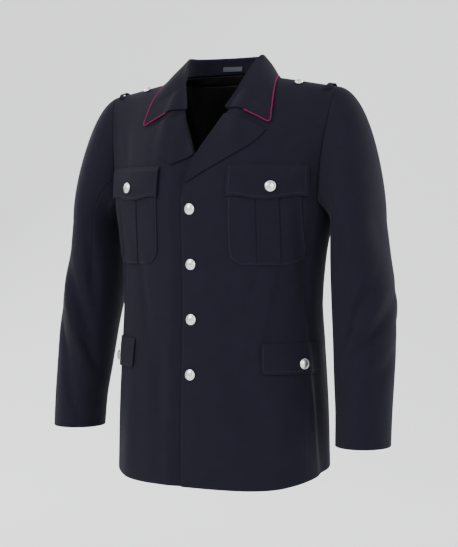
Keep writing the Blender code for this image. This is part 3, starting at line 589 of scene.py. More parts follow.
# Lapels, folded back along the roll line
lapel = {
    "rows": namedRows(
        "place rollShare x z",
        (0.0, 0.4700, 0.1290, -0.1060),
        (0.2, 0.4000, 0.1130, -0.1290),
        (0.4, 0.3200, 0.0790, -0.1530),
        (0.6, 0.2200, 0.0450, -0.1730),
        (0.8, 0.1200, 0.0150, -0.1900),
        (1.0, 0.0300, -0.0100, -0.2050),
    ),
    "start": 0.02, "steps": 80, "columns": 40, "rollLift": 0.0060, "edgeLift": 0.00265,
    "turnSteps": 9, "leastLift": 0.3, "rollWidth": 0.05, "rightLift": 0.0002, "rightEnd": 0.59,
    "rightSink": 0.42, "rightFade": 0.25,
}
for label, word, side in sides:
    end = 1.0 if side > 0 else lapel["rightEnd"]
    place = np.linspace(lapel["start"], end, lapel["steps"])
    rollShare, edgeX, edgeZ = readColumns(lapel["rows"], "place", "rollShare x z", place)
    roll = mirrored(rollPoint(rollShare), side)
    edge, _ = onFront(side, edgeX, edgeZ, 0.0)
    turned = np.linspace(0, math.pi / 2, lapel["turnSteps"])[:-1]
    width = lapel["rollWidth"]
    across = np.concatenate([width * (1 - np.cos(turned)), np.linspace(width, 1, lapel["columns"])])
    rounded = np.concatenate([np.sin(turned), np.ones(lapel["columns"])])
    edgeLift = lapel["edgeLift"] + (lapel["rightLift"] if side < 0 else 0.0)
    sunk = np.ones(len(place))
    if side < 0:
        sunk = 1 - smoothStep((place - lapel["rightSink"]) / lapel["rightFade"])
    proud = (lapel["rollLift"] - edgeLift) * (1 - across)
    full = lapel["leastLift"] + (1 - lapel["leastLift"]) * rounded[None, :]
    lift = (edgeLift + proud[None, :] * sunk[:, None]) * full
    guess = roll[:, None] * (1 - across[None, :, None]) + edge[:, None] * across[None, :, None]
    outer, normal = laid(side, guess, lift)
    dress("lapel" + label, "lapel_" + word, outer, normal, body["thin"], (navyCloth,))
print("lapels made")

# Collar: a stand round the neck, and a fall folded over it
collar = {
    "sections": namedRows(
        "neck stand x y z",
        (0.000, 0.0300, 0.0000, 0.1050, -0.0260),
        (0.180, 0.0305, 0.0520, 0.0930, -0.0200),
        (0.360, 0.0320, 0.0960, 0.0560, -0.0110),
        (0.500, 0.0340, 0.1120, 0.0080, -0.0040),
        (0.640, 0.0250, 0.1200, -0.0250, -0.0200),
        (0.820, 0.0130, 0.1260, -0.0480, -0.0560),
        (1.000, 0.0075, 0.1290, -0.0640, -0.1000),
    ),
    "gorge": 0.50, "fold": 0.0036, "bulge": 0.0040, "footRise": 0.0032, "footOut": 0.0004,
    "topRise": 0.0040, "topIn": 0.0030, "fall": (0.3, 0.6, 0.85), "gap": 0.0019,
    "middle": 0.55, "foldIn": 0.6, "foldOut": 0.7, "stations": 90, "profile": 52, "fallFrom": 4.2,
}


def neckCurve(share):
    behind = backNeckline(np.minimum(share, 0.5) * 2)
    before = rollPoint(1 - (np.maximum(share, 0.5) - 0.5) * 2 * collar["gorge"])
    return np.where((share <= 0.5)[..., None], behind, before)


def collarHalf(side):
    share = np.linspace(0, 1, collar["stations"])
    neck = mirrored(neckCurve(share), side)
    stand = readTable(collar["sections"], "neck", "stand", share)[:, None]
    edge = np.stack(readColumns(collar["sections"], "neck", "x y z", share), axis=-1)
    edge, _ = laid(side, mirrored(edge, side), body["wall"] + collar["gap"])
    out = unit((edge - neck) * np.array([1.0, 1.0, 0.0]))
    up = np.array([0.0, 0.0, 1.0])
    foot = neck + up * collar["footRise"] - out * collar["footOut"]
    top = neck + up * (stand + collar["topRise"]) - out * collar["topIn"]
    fold = collar["fold"]
    middle = foot * (1 - collar["middle"]) + top * collar["middle"]
    start = top + out * fold - up * fold * collar["foldOut"]
    shape = [foot, middle, top - out * fold * collar["foldIn"] - up * fold, top, start]
    for along in collar["fall"]:
        bulge = up * collar["bulge"] * math.sin(math.pi * along)
        shape.append(start * (1 - along) + edge * along + bulge)
    shape.append(edge)
    coarse = np.stack(shape, axis=1)
    slopes = np.gradient(coarse, axis=1)
    place = np.linspace(0, len(shape) - 1, collar["profile"])
    index = np.minimum(place.astype(int), len(shape) - 2)
    t = (place - index)[None, :, None]
    grid = hermite(t, coarse[:, index], coarse[:, index + 1], slopes[:, index], slopes[:, index + 1])
    falls = place > collar["fallFrom"]
    under, normal = laid(side, grid[:, falls], 0.0)
    height = ((grid[:, falls] - under) * normal).sum(axis=-1)
    short = np.maximum(body["wall"] + collar["gap"] - height, 0)
    grid[:, falls] += normal * short[..., None]
    return grid


collarGrid = np.concatenate([collarHalf(-1.0)[::-1][:-1], collarHalf(1.0)])
collarNormals = unit(np.cross(np.gradient(collarGrid, axis=0), np.gradient(collarGrid, axis=1)))
dress("collarCloth", "collar", collarGrid, collarNormals, body["wall"], (navyCloth,))
print("collar made")

# Piping round the collar's edge
piping = {"radius": 0.0013, "sides": 14, "gap": 0.0004, "frontFrom": 0.66, "cornerSteps": 7, "sharp": 60}


def makeTube(name, path, radius, count, material):
    along = unit(np.gradient(path, axis=0))
    side = unit(np.cross(along, np.array([0.0, 0.0, 1.0])) + 1e-6)
    over = np.cross(side, along)
    turn = np.linspace(0, 2 * math.pi, count, endpoint=False)
    ring = side[:, None] * np.cos(turn)[None, :, None] + over[:, None] * np.sin(turn)[None, :, None]
    points = (path[:, None] + ring * radius).reshape(-1, 3)
    return makeRings(name, points, count, piping["sharp"], material)


def beyondEdge(edge, inside):
    return edge + unit(edge - inside) * (piping["radius"] + piping["gap"])


edgeLine = beyondEdge(collarGrid[:, -1], collarGrid[:, -3])
fallGrid = collarGrid[:, int(collar["profile"] * piping["frontFrom"]):]
rightEnd = beyondEdge(fallGrid[0], fallGrid[2])
leftEnd = beyondEdge(fallGrid[-1], fallGrid[-3])
pipingPath = np.concatenate([rightEnd[:-1], edgeLine, leftEnd[::-1][1:]])
for _ in range(piping["cornerSteps"]):
    pipingPath[1:-1] = pipingPath[1:-1] * 0.5 + (pipingPath[:-2] + pipingPath[2:]) * 0.25
collarPiping = makeTube("collarPiping", pipingPath, piping["radius"], piping["sides"], redPiping)
standFor(collarPiping, "red_piping", "collar_piping")

# Sleeves: each of a top and an under piece, hanging open
sleeve = {
    "sections": namedRows(
        "height x y halfX halfY",
        (-0.680, 0.3030, -0.0390, 0.0500, 0.0535),
        (-0.620, 0.3020, -0.0330, 0.0510, 0.0560),
        (-0.560, 0.2990, -0.0240, 0.0540, 0.0600),
        (-0.480, 0.2950, -0.0120, 0.0570, 0.0660),
        (-0.420, 0.2900, -0.0020, 0.0580, 0.0720),
        (-0.340, 0.2810, 0.0030, 0.0520, 0.0760),
        (-0.276, 0.2765, 0.0040, 0.0460, 0.0790),
    ),
    "clearance": 0.0008, "headPull": 0.180, "lowPull": 0.12, "headPower": 1.5, "headSpread": 0.055,
    "headFall": (0.020, 0.030), "short": 0.10, "headDrop": 0.240, "cap": 0.36,
    "frontSeam": 0.330, "backSeam": 0.740, "seam": 0.0005, "spread": 0.40, "foldStrength": 1.7,
    "armholeSteps": 80, "lowReach": 1.05, "shortDrop": 1.1, "step": 0.003,
    "creaseFrom": 0.26, "creaseOver": 0.16, "cuffCrease": 0.35, "cuffOver": 0.08,
    "capRows": 70, "lowRows": 120, "topColumns": 90, "underColumns": 60,
}
sleeveFolds = namedRows(
    "side across height tilt long wide deep",
    (1.0, 0.20, -0.425, -38, 0.055, 0.011, -0.0038),
    (1.0, 0.16, -0.450, -40, 0.060, 0.010, 0.0030),
    (1.0, 0.13, -0.476, -43, 0.065, 0.012, -0.0042),
    (1.0, 0.26, -0.480, -28, 0.042, 0.010, -0.0044),
    (1.0, 0.09, -0.545, -50, 0.060, 0.014, -0.0024),
    (1.0, 0.05, -0.270, 5, 0.050, 0.018, -0.0014),
    (1.0, 0.28, -0.300, 12, 0.070, 0.013, -0.0036),
    (1.0, 0.22, -0.610, -16, 0.060, 0.018, 0.0022),
    (1.0, 0.80, -0.440, 52, 0.055, 0.012, -0.0042),
    (1.0, 0.86, -0.500, 38, 0.050, 0.011, -0.0030),
    (1.0, 0.70, -0.320, -8, 0.090, 0.016, -0.0030),
    (-1.0, 0.30, -0.455, -28, 0.080, 0.012, -0.0050),
    (-1.0, 0.24, -0.465, -26, 0.085, 0.013, 0.0036),
    (-1.0, 0.18, -0.500, -30, 0.060, 0.012, -0.0030),
    (-1.0, 0.36, -0.530, -34, 0.050, 0.010, -0.0040),
    (-1.0, 0.27, -0.600, -22, 0.060, 0.014, -0.0030),
    (-1.0, 0.33, -0.370, -10, 0.060, 0.011, -0.0034),
    (-1.0, 0.06, -0.260, -4, 0.090, 0.020, -0.0026),
    (-1.0, 0.82, -0.470, 44, 0.055, 0.012, -0.0040),
    (-1.0, 0.88, -0.410, 58, 0.050, 0.011, -0.0032),
    (-1.0, 0.72, -0.300, -6, 0.080, 0.015, -0.0030),
)


def armholeCurve():
    down = np.linspace(1, 0, sleeve["armholeSteps"])
    front, _ = frontBase(1.0, down)
    angles = np.linspace(body["frontSeam"], body["backSeam"], sleeve["armholeSteps"])
    low = bodyPoint(angles, armholeLow(angles))
    back, _ = backBase(1.0, down[::-1])
    path = np.concatenate([front, low[1:-1], back])
    length = np.concatenate([[0], np.cumsum(np.linalg.norm(np.diff(path, axis=0), axis=1))])
    return path, length / length[-1]


armholePath, armholeShare = armholeCurve()


def onArmhole(share):
    share = np.mod(share, 1.0)
    return np.stack([np.interp(share, armholeShare, armholePath[:, axis]) for axis in range(3)], axis=-1)


def sleeveRing(share, height):
    turn = 2 * math.pi * share
    x, y, halfX, halfY = readColumns(sleeve["sections"], "height", "x y halfX halfY", height)
    return np.stack([x + halfX * np.cos(turn), y - halfY * np.sin(turn), height + 0 * turn], axis=-1)


def sleeveBase(share, place):
    share, place = matched(share, place)
    cap = sleeve["cap"]
    high = sleeve["sections"][-1]["height"]
    low = sleeve["sections"][0]["height"]
    down = np.clip((place - cap) / (1 - cap), 0, sleeve["lowReach"])
    below = sleeveRing(share, high + down * (low - high))
    start = onArmhole(share) + np.array([sleeve["clearance"], 0.0, 0.0])
    end = sleeveRing(share, np.full_like(share, high))
    length = np.linalg.norm(end - start, axis=-1)
    turn = 2 * math.pi * share
    top = (1 + np.cos(turn)) / 2
    pull = sleeve["lowPull"] + (1 - sleeve["lowPull"]) * top ** sleeve["headPower"]
    pull = sleeve["headPull"] * pull
    fall = sleeve["headFall"][0] + sleeve["headFall"][1] * top
    leave = np.stack([pull, -sleeve["headSpread"] * np.sin(turn), -fall], axis=-1)
    leave = leave * np.minimum(1, length / sleeve["short"])[..., None]
    drop = np.minimum(sleeve["headDrop"], length * sleeve["shortDrop"])
    arrive = np.stack([0 * turn, 0 * turn, -drop], axis=-1)
    above = hermite(np.clip(place / cap, 0, 1)[..., None], start, end, leave, arrive)
    return np.where((place >= cap)[..., None], below, above)


def sleevePanel(side, share, place):
    step = sleeve["step"]
    points = sleeveBase(share, place)
    right = sleeveBase(share + step, place) - sleeveBase(share - step, place)
    below = sleeveBase(share, np.minimum(place + step, 1))
    normal = unit(np.cross(right, below - sleeveBase(share, np.maximum(place - step, 0))))
    depth = 0
    for whole in (-1, 0, 1):
        depth = depth + foldDepth(sleeveFolds, side, share + whole, points[..., 2], sleeve["spread"])
    fade = smoothStep((place - sleeve["creaseFrom"]) / sleeve["creaseOver"])
    cuff = smoothStep((1 - place) / sleeve["cuffOver"])
    fade = fade * (sleeve["cuffCrease"] + (1 - sleeve["cuffCrease"]) * cuff)
    depth = depth * fade * sleeve["foldStrength"]
    return mirrored(points + normal * depth[..., None], side), mirrored(normal, side)


capPlaces = np.linspace(0, sleeve["cap"], sleeve["capRows"])
places = np.concatenate([capPlaces, np.linspace(sleeve["cap"], 1, sleeve["lowRows"])[1:]])[:, None]
sleevePieces = (
    ("topSleeve", "top_sleeve_", sleeve["backSeam"] - 1, sleeve["frontSeam"], "topColumns"),
    ("underSleeve", "under_sleeve_", sleeve["frontSeam"], sleeve["backSeam"], "underColumns"),
)
for label, word, side in sides:
    for name, node, start, end, count in sleevePieces:
        share = np.linspace(start + sleeve["seam"], end - sleeve["seam"], sleeve[count])[None, :]
        outer, normal = sleevePanel(side, share, places)
        dress(name + label, node + word, outer, normal, body["wall"], (navyCloth, blackLining))
print("sleeves made")

# Breast pockets with a box pleat, and their flaps
pocket = {
    "x": 0.134, "half": 0.060, "top": -0.189, "bottom": -0.356, "corner": 0.030, "edgeLift": 0.0017,
    "lift": 0.0029, "pillow": 0.006, "columns": 56, "rows": 60,
    "pleatX": 0.143, "pleatHalf": 0.018, "pleatRise": 0.0011, "pleatEdge": 0.0010, "groove": 0.0012,
    "foldSteps": (-1.0, -0.5, 0.0, 0.5, 1.0, 1.5, 2.0),
}
flap = {
    "x": 0.137, "half": 0.066, "top": -0.175, "bottom": -0.228, "point": 0.009, "corner": 0.004,
    "cornerPower": 6, "edgeLift": 0.0024, "lift": 0.0060, "settle": 0.17, "columns": 80, "rows": 34,
}


def pocketInside(across):
    return np.minimum(across - (pocket["x"] - pocket["half"]), pocket["x"] + pocket["half"] - across)


def pocketHeights(across, down):
    reach = np.maximum(pocket["corner"] - pocketInside(across), 0)
    drop = pocket["corner"] - np.sqrt(np.maximum(pocket["corner"] ** 2 - reach ** 2, 0))
    return pocket["top"] + down * (pocket["bottom"] + drop - pocket["top"])


def pocketLift(across, heights, down):
    nearEdge = np.minimum(pocketInside(across), (1 - down) * (pocket["top"] - pocket["bottom"]))
    swell = smoothStep(nearEdge / pocket["pillow"])
    lift = pocket["edgeLift"] + (pocket["lift"] - pocket["edgeLift"]) * swell
    fromFold = np.abs(across - pocket["pleatX"]) - pocket["pleatHalf"]
    lift = lift + pocket["pleatRise"] * (1 - smoothStep(fromFold / pocket["pleatEdge"] + 0.5))
    groove = np.exp(-((fromFold - pocket["pleatEdge"]) / pocket["pleatEdge"]) ** 2)
    return lift - pocket["groove"] * groove


def flapLow(across):
    scallop = flap["point"] * (np.cos(math.pi * across) + 1) / 2
    return flap["bottom"] - scallop - flap["corner"] * np.abs(across) ** flap["cornerPower"]


def flapLift(share):
    return flap["edgeLift"] + (flap["lift"] - flap["edgeLift"]) * smoothStep(share / flap["settle"])


for label, word, side in sides:
    even = pocket["x"] + pocket["half"] * np.linspace(-1, 1, pocket["columns"])
    folds = [pocket["pleatX"] + way * (pocket["pleatHalf"] + step * pocket["pleatEdge"])
             for way in (-1, 1) for step in pocket["foldSteps"]]
    across = np.unique(np.concatenate([even, folds]))[None, :]
    down = np.linspace(0, 1, pocket["rows"])[:, None]
    heights = pocketHeights(across, down)
    outer, normal = onFront(side, across, heights, pocketLift(across, heights, down))
    dress("breastPocket" + label, "breast_pocket_" + word, outer, normal, body["thin"], (navyCloth,))
    across = np.linspace(-1, 1, flap["columns"])[None, :]
    share = np.linspace(0, 1, flap["rows"])[:, None]
    heights = flap["top"] + share * (flapLow(across) - flap["top"])
    outer, normal = onFront(side, flap["x"] + flap["half"] * across, heights, flapLift(share))
    dress("breastFlap" + label, "breast_flap_" + word, outer, normal, body["thin"], (navyCloth,))

# Flaps of the lower pockets
lowerFlap = {
    "start": 37.0, "end": 86.0, "top": -0.498, "bottom": -0.554, "lift": 0.0023, "stand": 0.0012,
    "standOver": 0.3, "columns": 90, "rows": 34, "round": 0.0075, "halfWidth": 0.083,
}


def lowerFlapPlaces(across, up):
    reach = np.maximum(lowerFlap["round"] - (1 - np.abs(across)) * lowerFlap["halfWidth"], 0)
    rise = lowerFlap["round"] - np.sqrt(np.maximum(lowerFlap["round"] ** 2 - reach ** 2, 0))
    start, end = lowerFlap["start"], lowerFlap["end"]
    low = lowerFlap["bottom"] + rise
    return (start + end) / 2 + across * (end - start) / 2, low + up * (lowerFlap["top"] - low)


def lowerFlapLift(up):
    return lowerFlap["lift"] + lowerFlap["stand"] * smoothStep((1 - up) / lowerFlap["standOver"])


for label, word, side in sides:
    across = np.linspace(-1, 1, lowerFlap["columns"])[None, :]
    up = np.linspace(0, 1, lowerFlap["rows"])[:, None]
    angle, heights = lowerFlapPlaces(across, up)
    outer, normal = laid(side, mirrored(bodyPoint(angle, heights), side), lowerFlapLift(up))
    dress("lowerFlap" + label, "lower_flap_" + word, outer, normal, body["thin"], (navyCloth,))
print("pockets made")

# Domed metal buttons with a low rim
button = {
    "radius": 0.0100, "smallRadius": 0.0080, "shoulderForward": 0.017, "rise": 0.0052, "rest": 0.0005,
    "sides": 64, "sharp": 50,
    "profile": (
        {"across": 0.02, "up": 1.000}, {"across": 0.20, "up": 0.985}, {"across": 0.40, "up": 0.930},
        {"across": 0.58, "up": 0.830}, {"across": 0.72, "up": 0.700}, {"across": 0.82, "up": 0.560},
        {"across": 0.87, "up": 0.470}, {"across": 0.90, "up": 0.440}, {"across": 0.94, "up": 0.440},
        {"across": 0.98, "up": 0.390}, {"across": 1.00, "up": 0.280}, {"across": 0.98, "up": 0.150},
        {"across": 0.92, "up": 0.040}, {"across": 0.60, "up": 0.000}, {"across": 0.02, "up": 0.000},
    ),
    "frontTop": -0.254, "frontStep": 0.1015, "frontCount": 4,
    "breastX": 0.147, "breastZ": -0.214, "flapAngle": 67.0, "flapZ": -0.536, "shoulderX": 0.1625,
}


def makeButton(name, node, found, radius):
    place, normal = found[0][0], found[1][0]
    turn = np.linspace(0, 2 * math.pi, button["sides"], endpoint=False)
    across = np.array([row["across"] for row in button["profile"]])[:, None] * radius
    up = np.array([row["up"] for row in button["profile"]])[:, None] * button["rise"]
    local = np.stack([across * np.cos(turn), across * np.sin(turn), up + 0 * turn], axis=-1)
    aim = np.array(Vector(tuple(normal)).to_track_quat("Z", "Y").to_matrix())
    points = local.reshape(-1, 3) @ aim.T + place
    made = makeRings(name, points, button["sides"], button["sharp"], silverMetal)
    standFor(made, "silver_metal", node)


for index in range(button["frontCount"]):
    found = onFront(1.0, [0.0], [button["frontTop"] - button["frontStep"] * index], button["rest"])
    makeButton("buttonFront%d" % (index + 1), "button_front_%d" % (index + 1), found, button["radius"])
for label, word, side in sides:
    found = onFront(side, [button["breastX"]], [button["breastZ"]], flap["lift"] + button["rest"])
    makeButton("buttonBreast" + label, "button_breast_" + word, found, button["radius"])
    guess = mirrored(bodyPoint([button["flapAngle"]], [button["flapZ"]]), side)
    found = laid(side, guess, lowerFlap["lift"] + lowerFlap["stand"] + button["rest"])
    makeButton("buttonFlap" + label, "button_flap_" + word, found, button["radius"])
    guess = shoulderSeam([shoulderShare(button["shoulderX"])])
    guess = guess - np.array([0.0, button["shoulderForward"], 0.0])
    found = laid(side, mirrored(guess, side), button["rest"])
    makeButton("buttonShoulder" + label, "button_shoulder_" + word, found, button["smallRadius"])
print("buttons made")

# Cloth loops at the shoulder points
loop = {
    "x": 0.222, "forward": 0.007, "halfLength": 0.024, "halfWidth": 0.005, "arch": 0.0032, "archPower": 4,
    "rows": 40, "columns": 12,
}
loopCentre = shoulderSeam([shoulderShare(loop["x"])])[0]
for label, word, side in sides:
    along = np.linspace(-1, 1, loop["rows"])[:, None]
    across = np.linspace(-1, 1, loop["columns"])[None, :]
    x = loopCentre[0] + across * loop["halfWidth"] + 0 * along
    y = loopCentre[1] - loop["forward"] + along * loop["halfLength"] + 0 * across
    guess = np.stack([x, y, np.full_like(x, loopCentre[2])], axis=-1)
    lift = button["rest"] + body["thin"] + loop["arch"] * (1 - along ** loop["archPower"]) + 0 * across
    outer, normal = laid(side, mirrored(guess, side), lift)
    dress("shoulderLoop" + label, "shoulder_loop_" + word, outer, normal, body["thin"], (navyCloth,))
print("loops made")

# Lining inside the back of the neck, and a blank label
neckInside = {
    "low": 0.222, "high": 0.889, "start": 0.001, "end": 0.875, "gap": 0.0037, "rows": 50, "columns": 60,
    "labelX": -0.016, "labelHalfWidth": 0.019, "labelHalfHeight": 0.0045, "labelHeight": 0.022,
    "labelIn": 0.0034, "labelThick": 0.0006, "labelColumns": 40, "labelRows": 8,
}
rows = np.linspace(neckInside["low"], neckInside["high"], neckInside["rows"])[:, None]
columns = np.linspace(neckInside["start"], neckInside["end"], neckInside["columns"])[None, :]
halves = []
for turn, side in ((-1, 1.0), (1, -1.0)):
    points, normal = panel(backBase, -1.0, side, columns, rows)
    near = points - normal * (body["wall"] + neckInside["gap"])
    halves.append((near[:, ::turn], normal[:, ::turn]))
near, normal = (np.concatenate(pair, axis=1) for pair in zip(*halves))
dress("backNeckLining", "back_neck_lining", near, normal, body["thin"], (blackLining,), "black_lining")
across = np.linspace(-1, 1, neckInside["labelColumns"])[None, :]
up = np.linspace(-1, 1, neckInside["labelRows"])[:, None]
x = neckInside["labelX"] + across * neckInside["labelHalfWidth"]
turn = np.arcsin(x / body["neckPoint"][0])
y = body["neckPoint"][1] + (body["backNeckDepth"] - neckInside["labelIn"]) * np.cos(turn)
z = neckInside["labelHeight"] + up * neckInside["labelHalfHeight"]
near = np.stack(matched(x, y, z), axis=-1)
forward = np.array([0.0, -1.0, 0.0])
dress("neckLabel", "label", near, forward, neckInside["labelThick"], (paleLabel,), "label_cloth")
print("neck made")


# Rows of stitches along a line on the cloth
stitch = {
    "spacing": 0.0034, "length": 0.0026, "radius": 0.00030, "sink": 0.00002, "segments": 8, "rings": 6,
    "pocketInset": 0.0022, "pocketFrom": 0.30, "pocketSteps": 60, "cornerPower": 8, "pocketIn": 0.985,
    "inset": 0.0050, "flapFrom": 0.12, "lowerFrom": 0.97, "lowerIn": 0.93, "flapSteps": 30, "lowSteps": 90,
}


def makeStitchGroup():
    given = {"Line": "Geometry", "Spacing": "Float", "Length": "Float", "Radius": "Float",
             "Thread": "Material"}
    tree, start, end = newGroup("stitchRow", "GeometryNodeTree", given, {"Stitches": "Geometry"})
    curve = addNode(tree, "GeometryNodeMeshToCurve", Mesh=start.outputs["Line"])
    spots = tree.nodes.new("GeometryNodeCurveToPoints")
    spots.mode = "LENGTH"
    feed(tree, spots.inputs["Curve"], curve.outputs["Curve"])
    feed(tree, spots.inputs["Length"], start.outputs["Spacing"])
    aim = addNode(tree, "FunctionNodeAlignRotationToVector", Vector=spots.outputs["Tangent"])
    aim.axis = "Z"
    bead = addNode(tree, "GeometryNodeMeshUVSphere", Segments=stitch["segments"], Rings=stitch["rings"],
                   Radius=1.0)
    half = mathNode(tree, "MULTIPLY", start.outputs["Length"], 0.5)
    radius = start.outputs["Radius"]
    size = addNode(tree, "ShaderNodeCombineXYZ", X=radius, Y=radius, Z=half)
    placed = addNode(tree, "GeometryNodeInstanceOnPoints", Points=spots.outputs["Points"],
                     Instance=bead.outputs["Mesh"], Rotation=aim.outputs["Rotation"],
                     Scale=size.outputs[0])
    real = addNode(tree, "GeometryNodeRealizeInstances", Geometry=placed.outputs["Instances"])
    painted = addNode(tree, "GeometryNodeSetMaterial", Geometry=real.outputs[0],
                      Material=start.outputs["Thread"])
    feed(tree, end.inputs["Stitches"], painted.outputs[0])
    return tree


stitchGroup = makeStitchGroup()


def makeStitches(name, line):
    mesh = bpy.data.meshes.new(name)
    mesh.from_pydata(line.tolist(), [(step, step + 1) for step in range(len(line) - 1)], [])
    made = addObject(name, mesh, ())
    modifier = made.modifiers.new("Stitches", "NODES")
    modifier.node_group = stitchGroup
    # The thread's lighter colour is painted sheen
    given = {"Thread": navyThreadWithPaintedSheen}
    given.update({key: stitch[key.lower()] for key in ("Spacing", "Length", "Radius")})
    for item in stitchGroup.interface.items_tree:
        if item.item_type == "SOCKET" and item.in_out == "INPUT" and item.name in given:
            modifier[item.identifier] = given[item.name]
    made.update_tag()
    graph = bpy.context.evaluated_depsgraph_get()
    plain = bpy.data.meshes.new_from_object(made.evaluated_get(graph))
    made.modifiers.remove(modifier)
    made.data = plain
    made.data.shade_smooth()
    print(name, "triangles", sum(len(face.vertices) - 2 for face in plain.polygons))
    return standFor(made, "navy_cloth")


# Down one side, along the low edge and up the other: places across, and shares of the way down
def threeSides(edge, start, end, steps):
    down = np.linspace(start, end, steps)
    low = np.linspace(-edge, edge, stitch["lowSteps"])[1:-1]
    across = np.concatenate([np.full(steps, -edge), low, np.full(steps, edge)])
    return across, np.concatenate([down, np.full(len(low), float(end)), down[::-1]])


stitchPieces = {}
for label, word, side in sides:
    inset = stitch["pocketInset"]
    across, down = threeSides(1.0, stitch["pocketFrom"], 1, stitch["pocketSteps"])
    x = pocket["x"] + (pocket["half"] - inset) * across
    heights = pocketHeights(x, down) + inset * down ** stitch["cornerPower"]
    lift = pocketLift(x, heights, down * stitch["pocketIn"]) + stitch["sink"]
    line, _ = onFront(side, x, heights, lift)
    stitchPieces["breastPocket" + label] = makeStitches("pocketStitches" + label, line)
    inset = stitch["inset"]
    edge = 1 - inset / flap["half"]
    across, down = threeSides(edge, stitch["flapFrom"], 1, stitch["flapSteps"])
    heights = flap["top"] + down * (flapLow(across) + inset - flap["top"])
    x = flap["x"] + flap["half"] * across
    line, _ = onFront(side, x, heights, flapLift(down) + stitch["sink"])
    stitchPieces["breastFlap" + label] = makeStitches("flapStitches" + label, line)
    edge = 1 - inset / lowerFlap["halfWidth"]
    across, up = threeSides(edge, stitch["lowerFrom"], 0, stitch["flapSteps"])
    angle, heights = lowerFlapPlaces(across, up)
    guess = mirrored(bodyPoint(angle, heights + inset * (1 - up)), side)
    line, _ = laid(side, guess, lowerFlapLift(up * stitch["lowerIn"]) + stitch["sink"])
    stitchPieces["lowerFlap" + label] = makeStitches("lowerFlapStitches" + label, line)
print("stitches made")

# The cut of each piece of cloth: width and length in metres, and its area where it isn't a rectangle
cuts = namedRows(
    "piece width length area held on",
    ("front", 0.270, 0.790, 0.1840, "hung", ()),
    ("side", 0.102, 0.514, 0.0490, "hung", ()),
    ("back", 0.240, 0.772, 0.1655, "hung", ()),
    ("topSleeve", 0.250, 0.690, 0.1400, "hung", ("front", "back")),
    ("underSleeve", 0.160, 0.560, 0.0750, "hung", ("side",)),
    ("breastPocket", 0.152, 0.169, 0.0235, "laid", ("front",)),
    ("breastFlap", 0.156, 0.065, 0.0092, "laid", ("breastPocket",)),
    ("lowerFlap", 0.134, 0.056, 0.0073, "laid", ("front", "side")),
    ("shoulderLoop", 0.010, 0.047, None, "laid", ("front", "back")),
)
soleCuts = namedRows(
    "piece width length area held on",
    ("lapelLeft", 0.098, 0.181, 0.0092, "folded", ("frontLeft",)),
    ("lapelRight", 0.098, 0.114, 0.0076, "folded", ("frontRight",)),
    ("collarCloth", 0.587, 0.123, 0.0480, "folded", ("backLeft", "backRight", "lapelLeft", "lapelRight")),
    ("backNeckLining", 0.420, 0.186, 0.0730, "laid", ("backLeft", "backRight")),
    ("neckLabel", 0.039, 0.010, 0.00036, "laid", ("collarCloth",)),
)


def stateCut(name):
    extra = [stitchPieces[name]] if name in stitchPieces else []
    if name == "collarCloth":
        extra.append(collarPiping)


for cut in cuts:
    for label, word, side in sides:
        stateCut(cut["piece"] + label)
for cut in soleCuts:
    stateCut(cut["piece"])

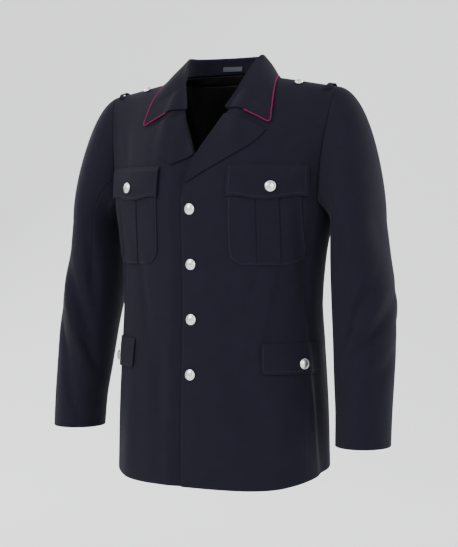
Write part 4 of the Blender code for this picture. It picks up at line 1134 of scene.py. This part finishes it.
# Pale floor that rises behind, soft lights and the camera
studio = {
    "floor": -1.15, "near": 3.2, "bendStart": 1.8, "bend": 1.6, "high": 4.5, "halfWidth": 6.0,
    "floorFrom": -0.5, "floorSteps": 6, "bendSteps": 20, "paper": (0.92, 0.92, 0.92),
    "paperRoughness": 0.9,
    "azimuth": 27.0, "elevation": 2.0, "distance": 2.62, "aim": (0.012, 0.0, -0.376),
    "lens": 90.0, "sensor": 36.0, "sky": (0.95, 0.96, 1.0, 1.0), "skyStrength": 1.0,
}
floorPlaces = np.linspace(studio["floorFrom"], studio["bendStart"], studio["floorSteps"])
run = np.concatenate([[-studio["near"]], floorPlaces])
turn = np.linspace(0, math.pi / 2, studio["bendSteps"])[1:]
bendEnd = studio["bendStart"] + studio["bend"]
alongY = np.concatenate([run, studio["bendStart"] + studio["bend"] * np.sin(turn), [bendEnd]])
alongZ = np.concatenate([0 * run, studio["bend"] * (1 - np.cos(turn)), [studio["high"]]])
alongZ = alongZ + studio["floor"]
turnAway = math.radians(studio["azimuth"])
backdropPoints = []
for across in (-studio["halfWidth"], studio["halfWidth"]):
    for y, z in zip(alongY, alongZ):
        x = across * math.cos(turnAway) - y * math.sin(turnAway)
        backdropPoints.append((x, across * math.sin(turnAway) + y * math.cos(turnAway), z))
count = len(alongY)
backdropFaces = [(k, k + 1, count + k + 1, count + k) for k in range(count - 1)]
mesh = bpy.data.meshes.new("backdrop")
mesh.from_pydata(backdropPoints, [], backdropFaces)
mesh.shade_smooth()
paper = newMaterial("paleBackdrop", studio["paper"], studio["paperRoughness"])
backdrop = addObject("backdrop", mesh, (paper,))


def aimed(name, data, place):
    made = bpy.data.objects.new(name, data)
    made.location = place
    away = Vector(place) - Vector(studio["aim"])
    made.rotation_euler = away.to_track_quat("Z", "Y").to_euler()
    bpy.context.scene.collection.objects.link(made)
    return made


lights = namedRows(
    "name place size power",
    ("keyLight", (-1.6, -2.6, 1.6), 1.8, 80),
    ("fillLight", (2.4, -2.0, 0.6), 2.2, 45),
    ("rimLight", (1.6, 2.0, 1.8), 1.6, 70),
    ("farRimLight", (-2.4, 1.2, 0.8), 1.6, 55),
)
for row in lights:
    lamp = bpy.data.lights.new(row["name"], "AREA")
    lamp.shape = "DISK"
    lamp.size = row["size"]
    lamp.energy = row["power"]
    aimed(row["name"], lamp, row["place"])
world = bpy.data.worlds.new("studio")
world.use_nodes = True
sky = world.node_tree.nodes["Background"]
sky.inputs["Color"].default_value = studio["sky"]
sky.inputs["Strength"].default_value = studio["skyStrength"]
bpy.context.scene.world = world

camera = bpy.data.cameras.new("camera")
camera.lens = studio["lens"]
camera.sensor_width = studio["sensor"]
across = math.radians(studio["azimuth"])
up = math.radians(studio["elevation"])
away = Vector((math.sin(across) * math.cos(up), -math.cos(across) * math.cos(up), math.sin(up)))
bpy.context.scene.camera = aimed("camera", camera, Vector(studio["aim"]) + away * studio["distance"])

print("stage made")
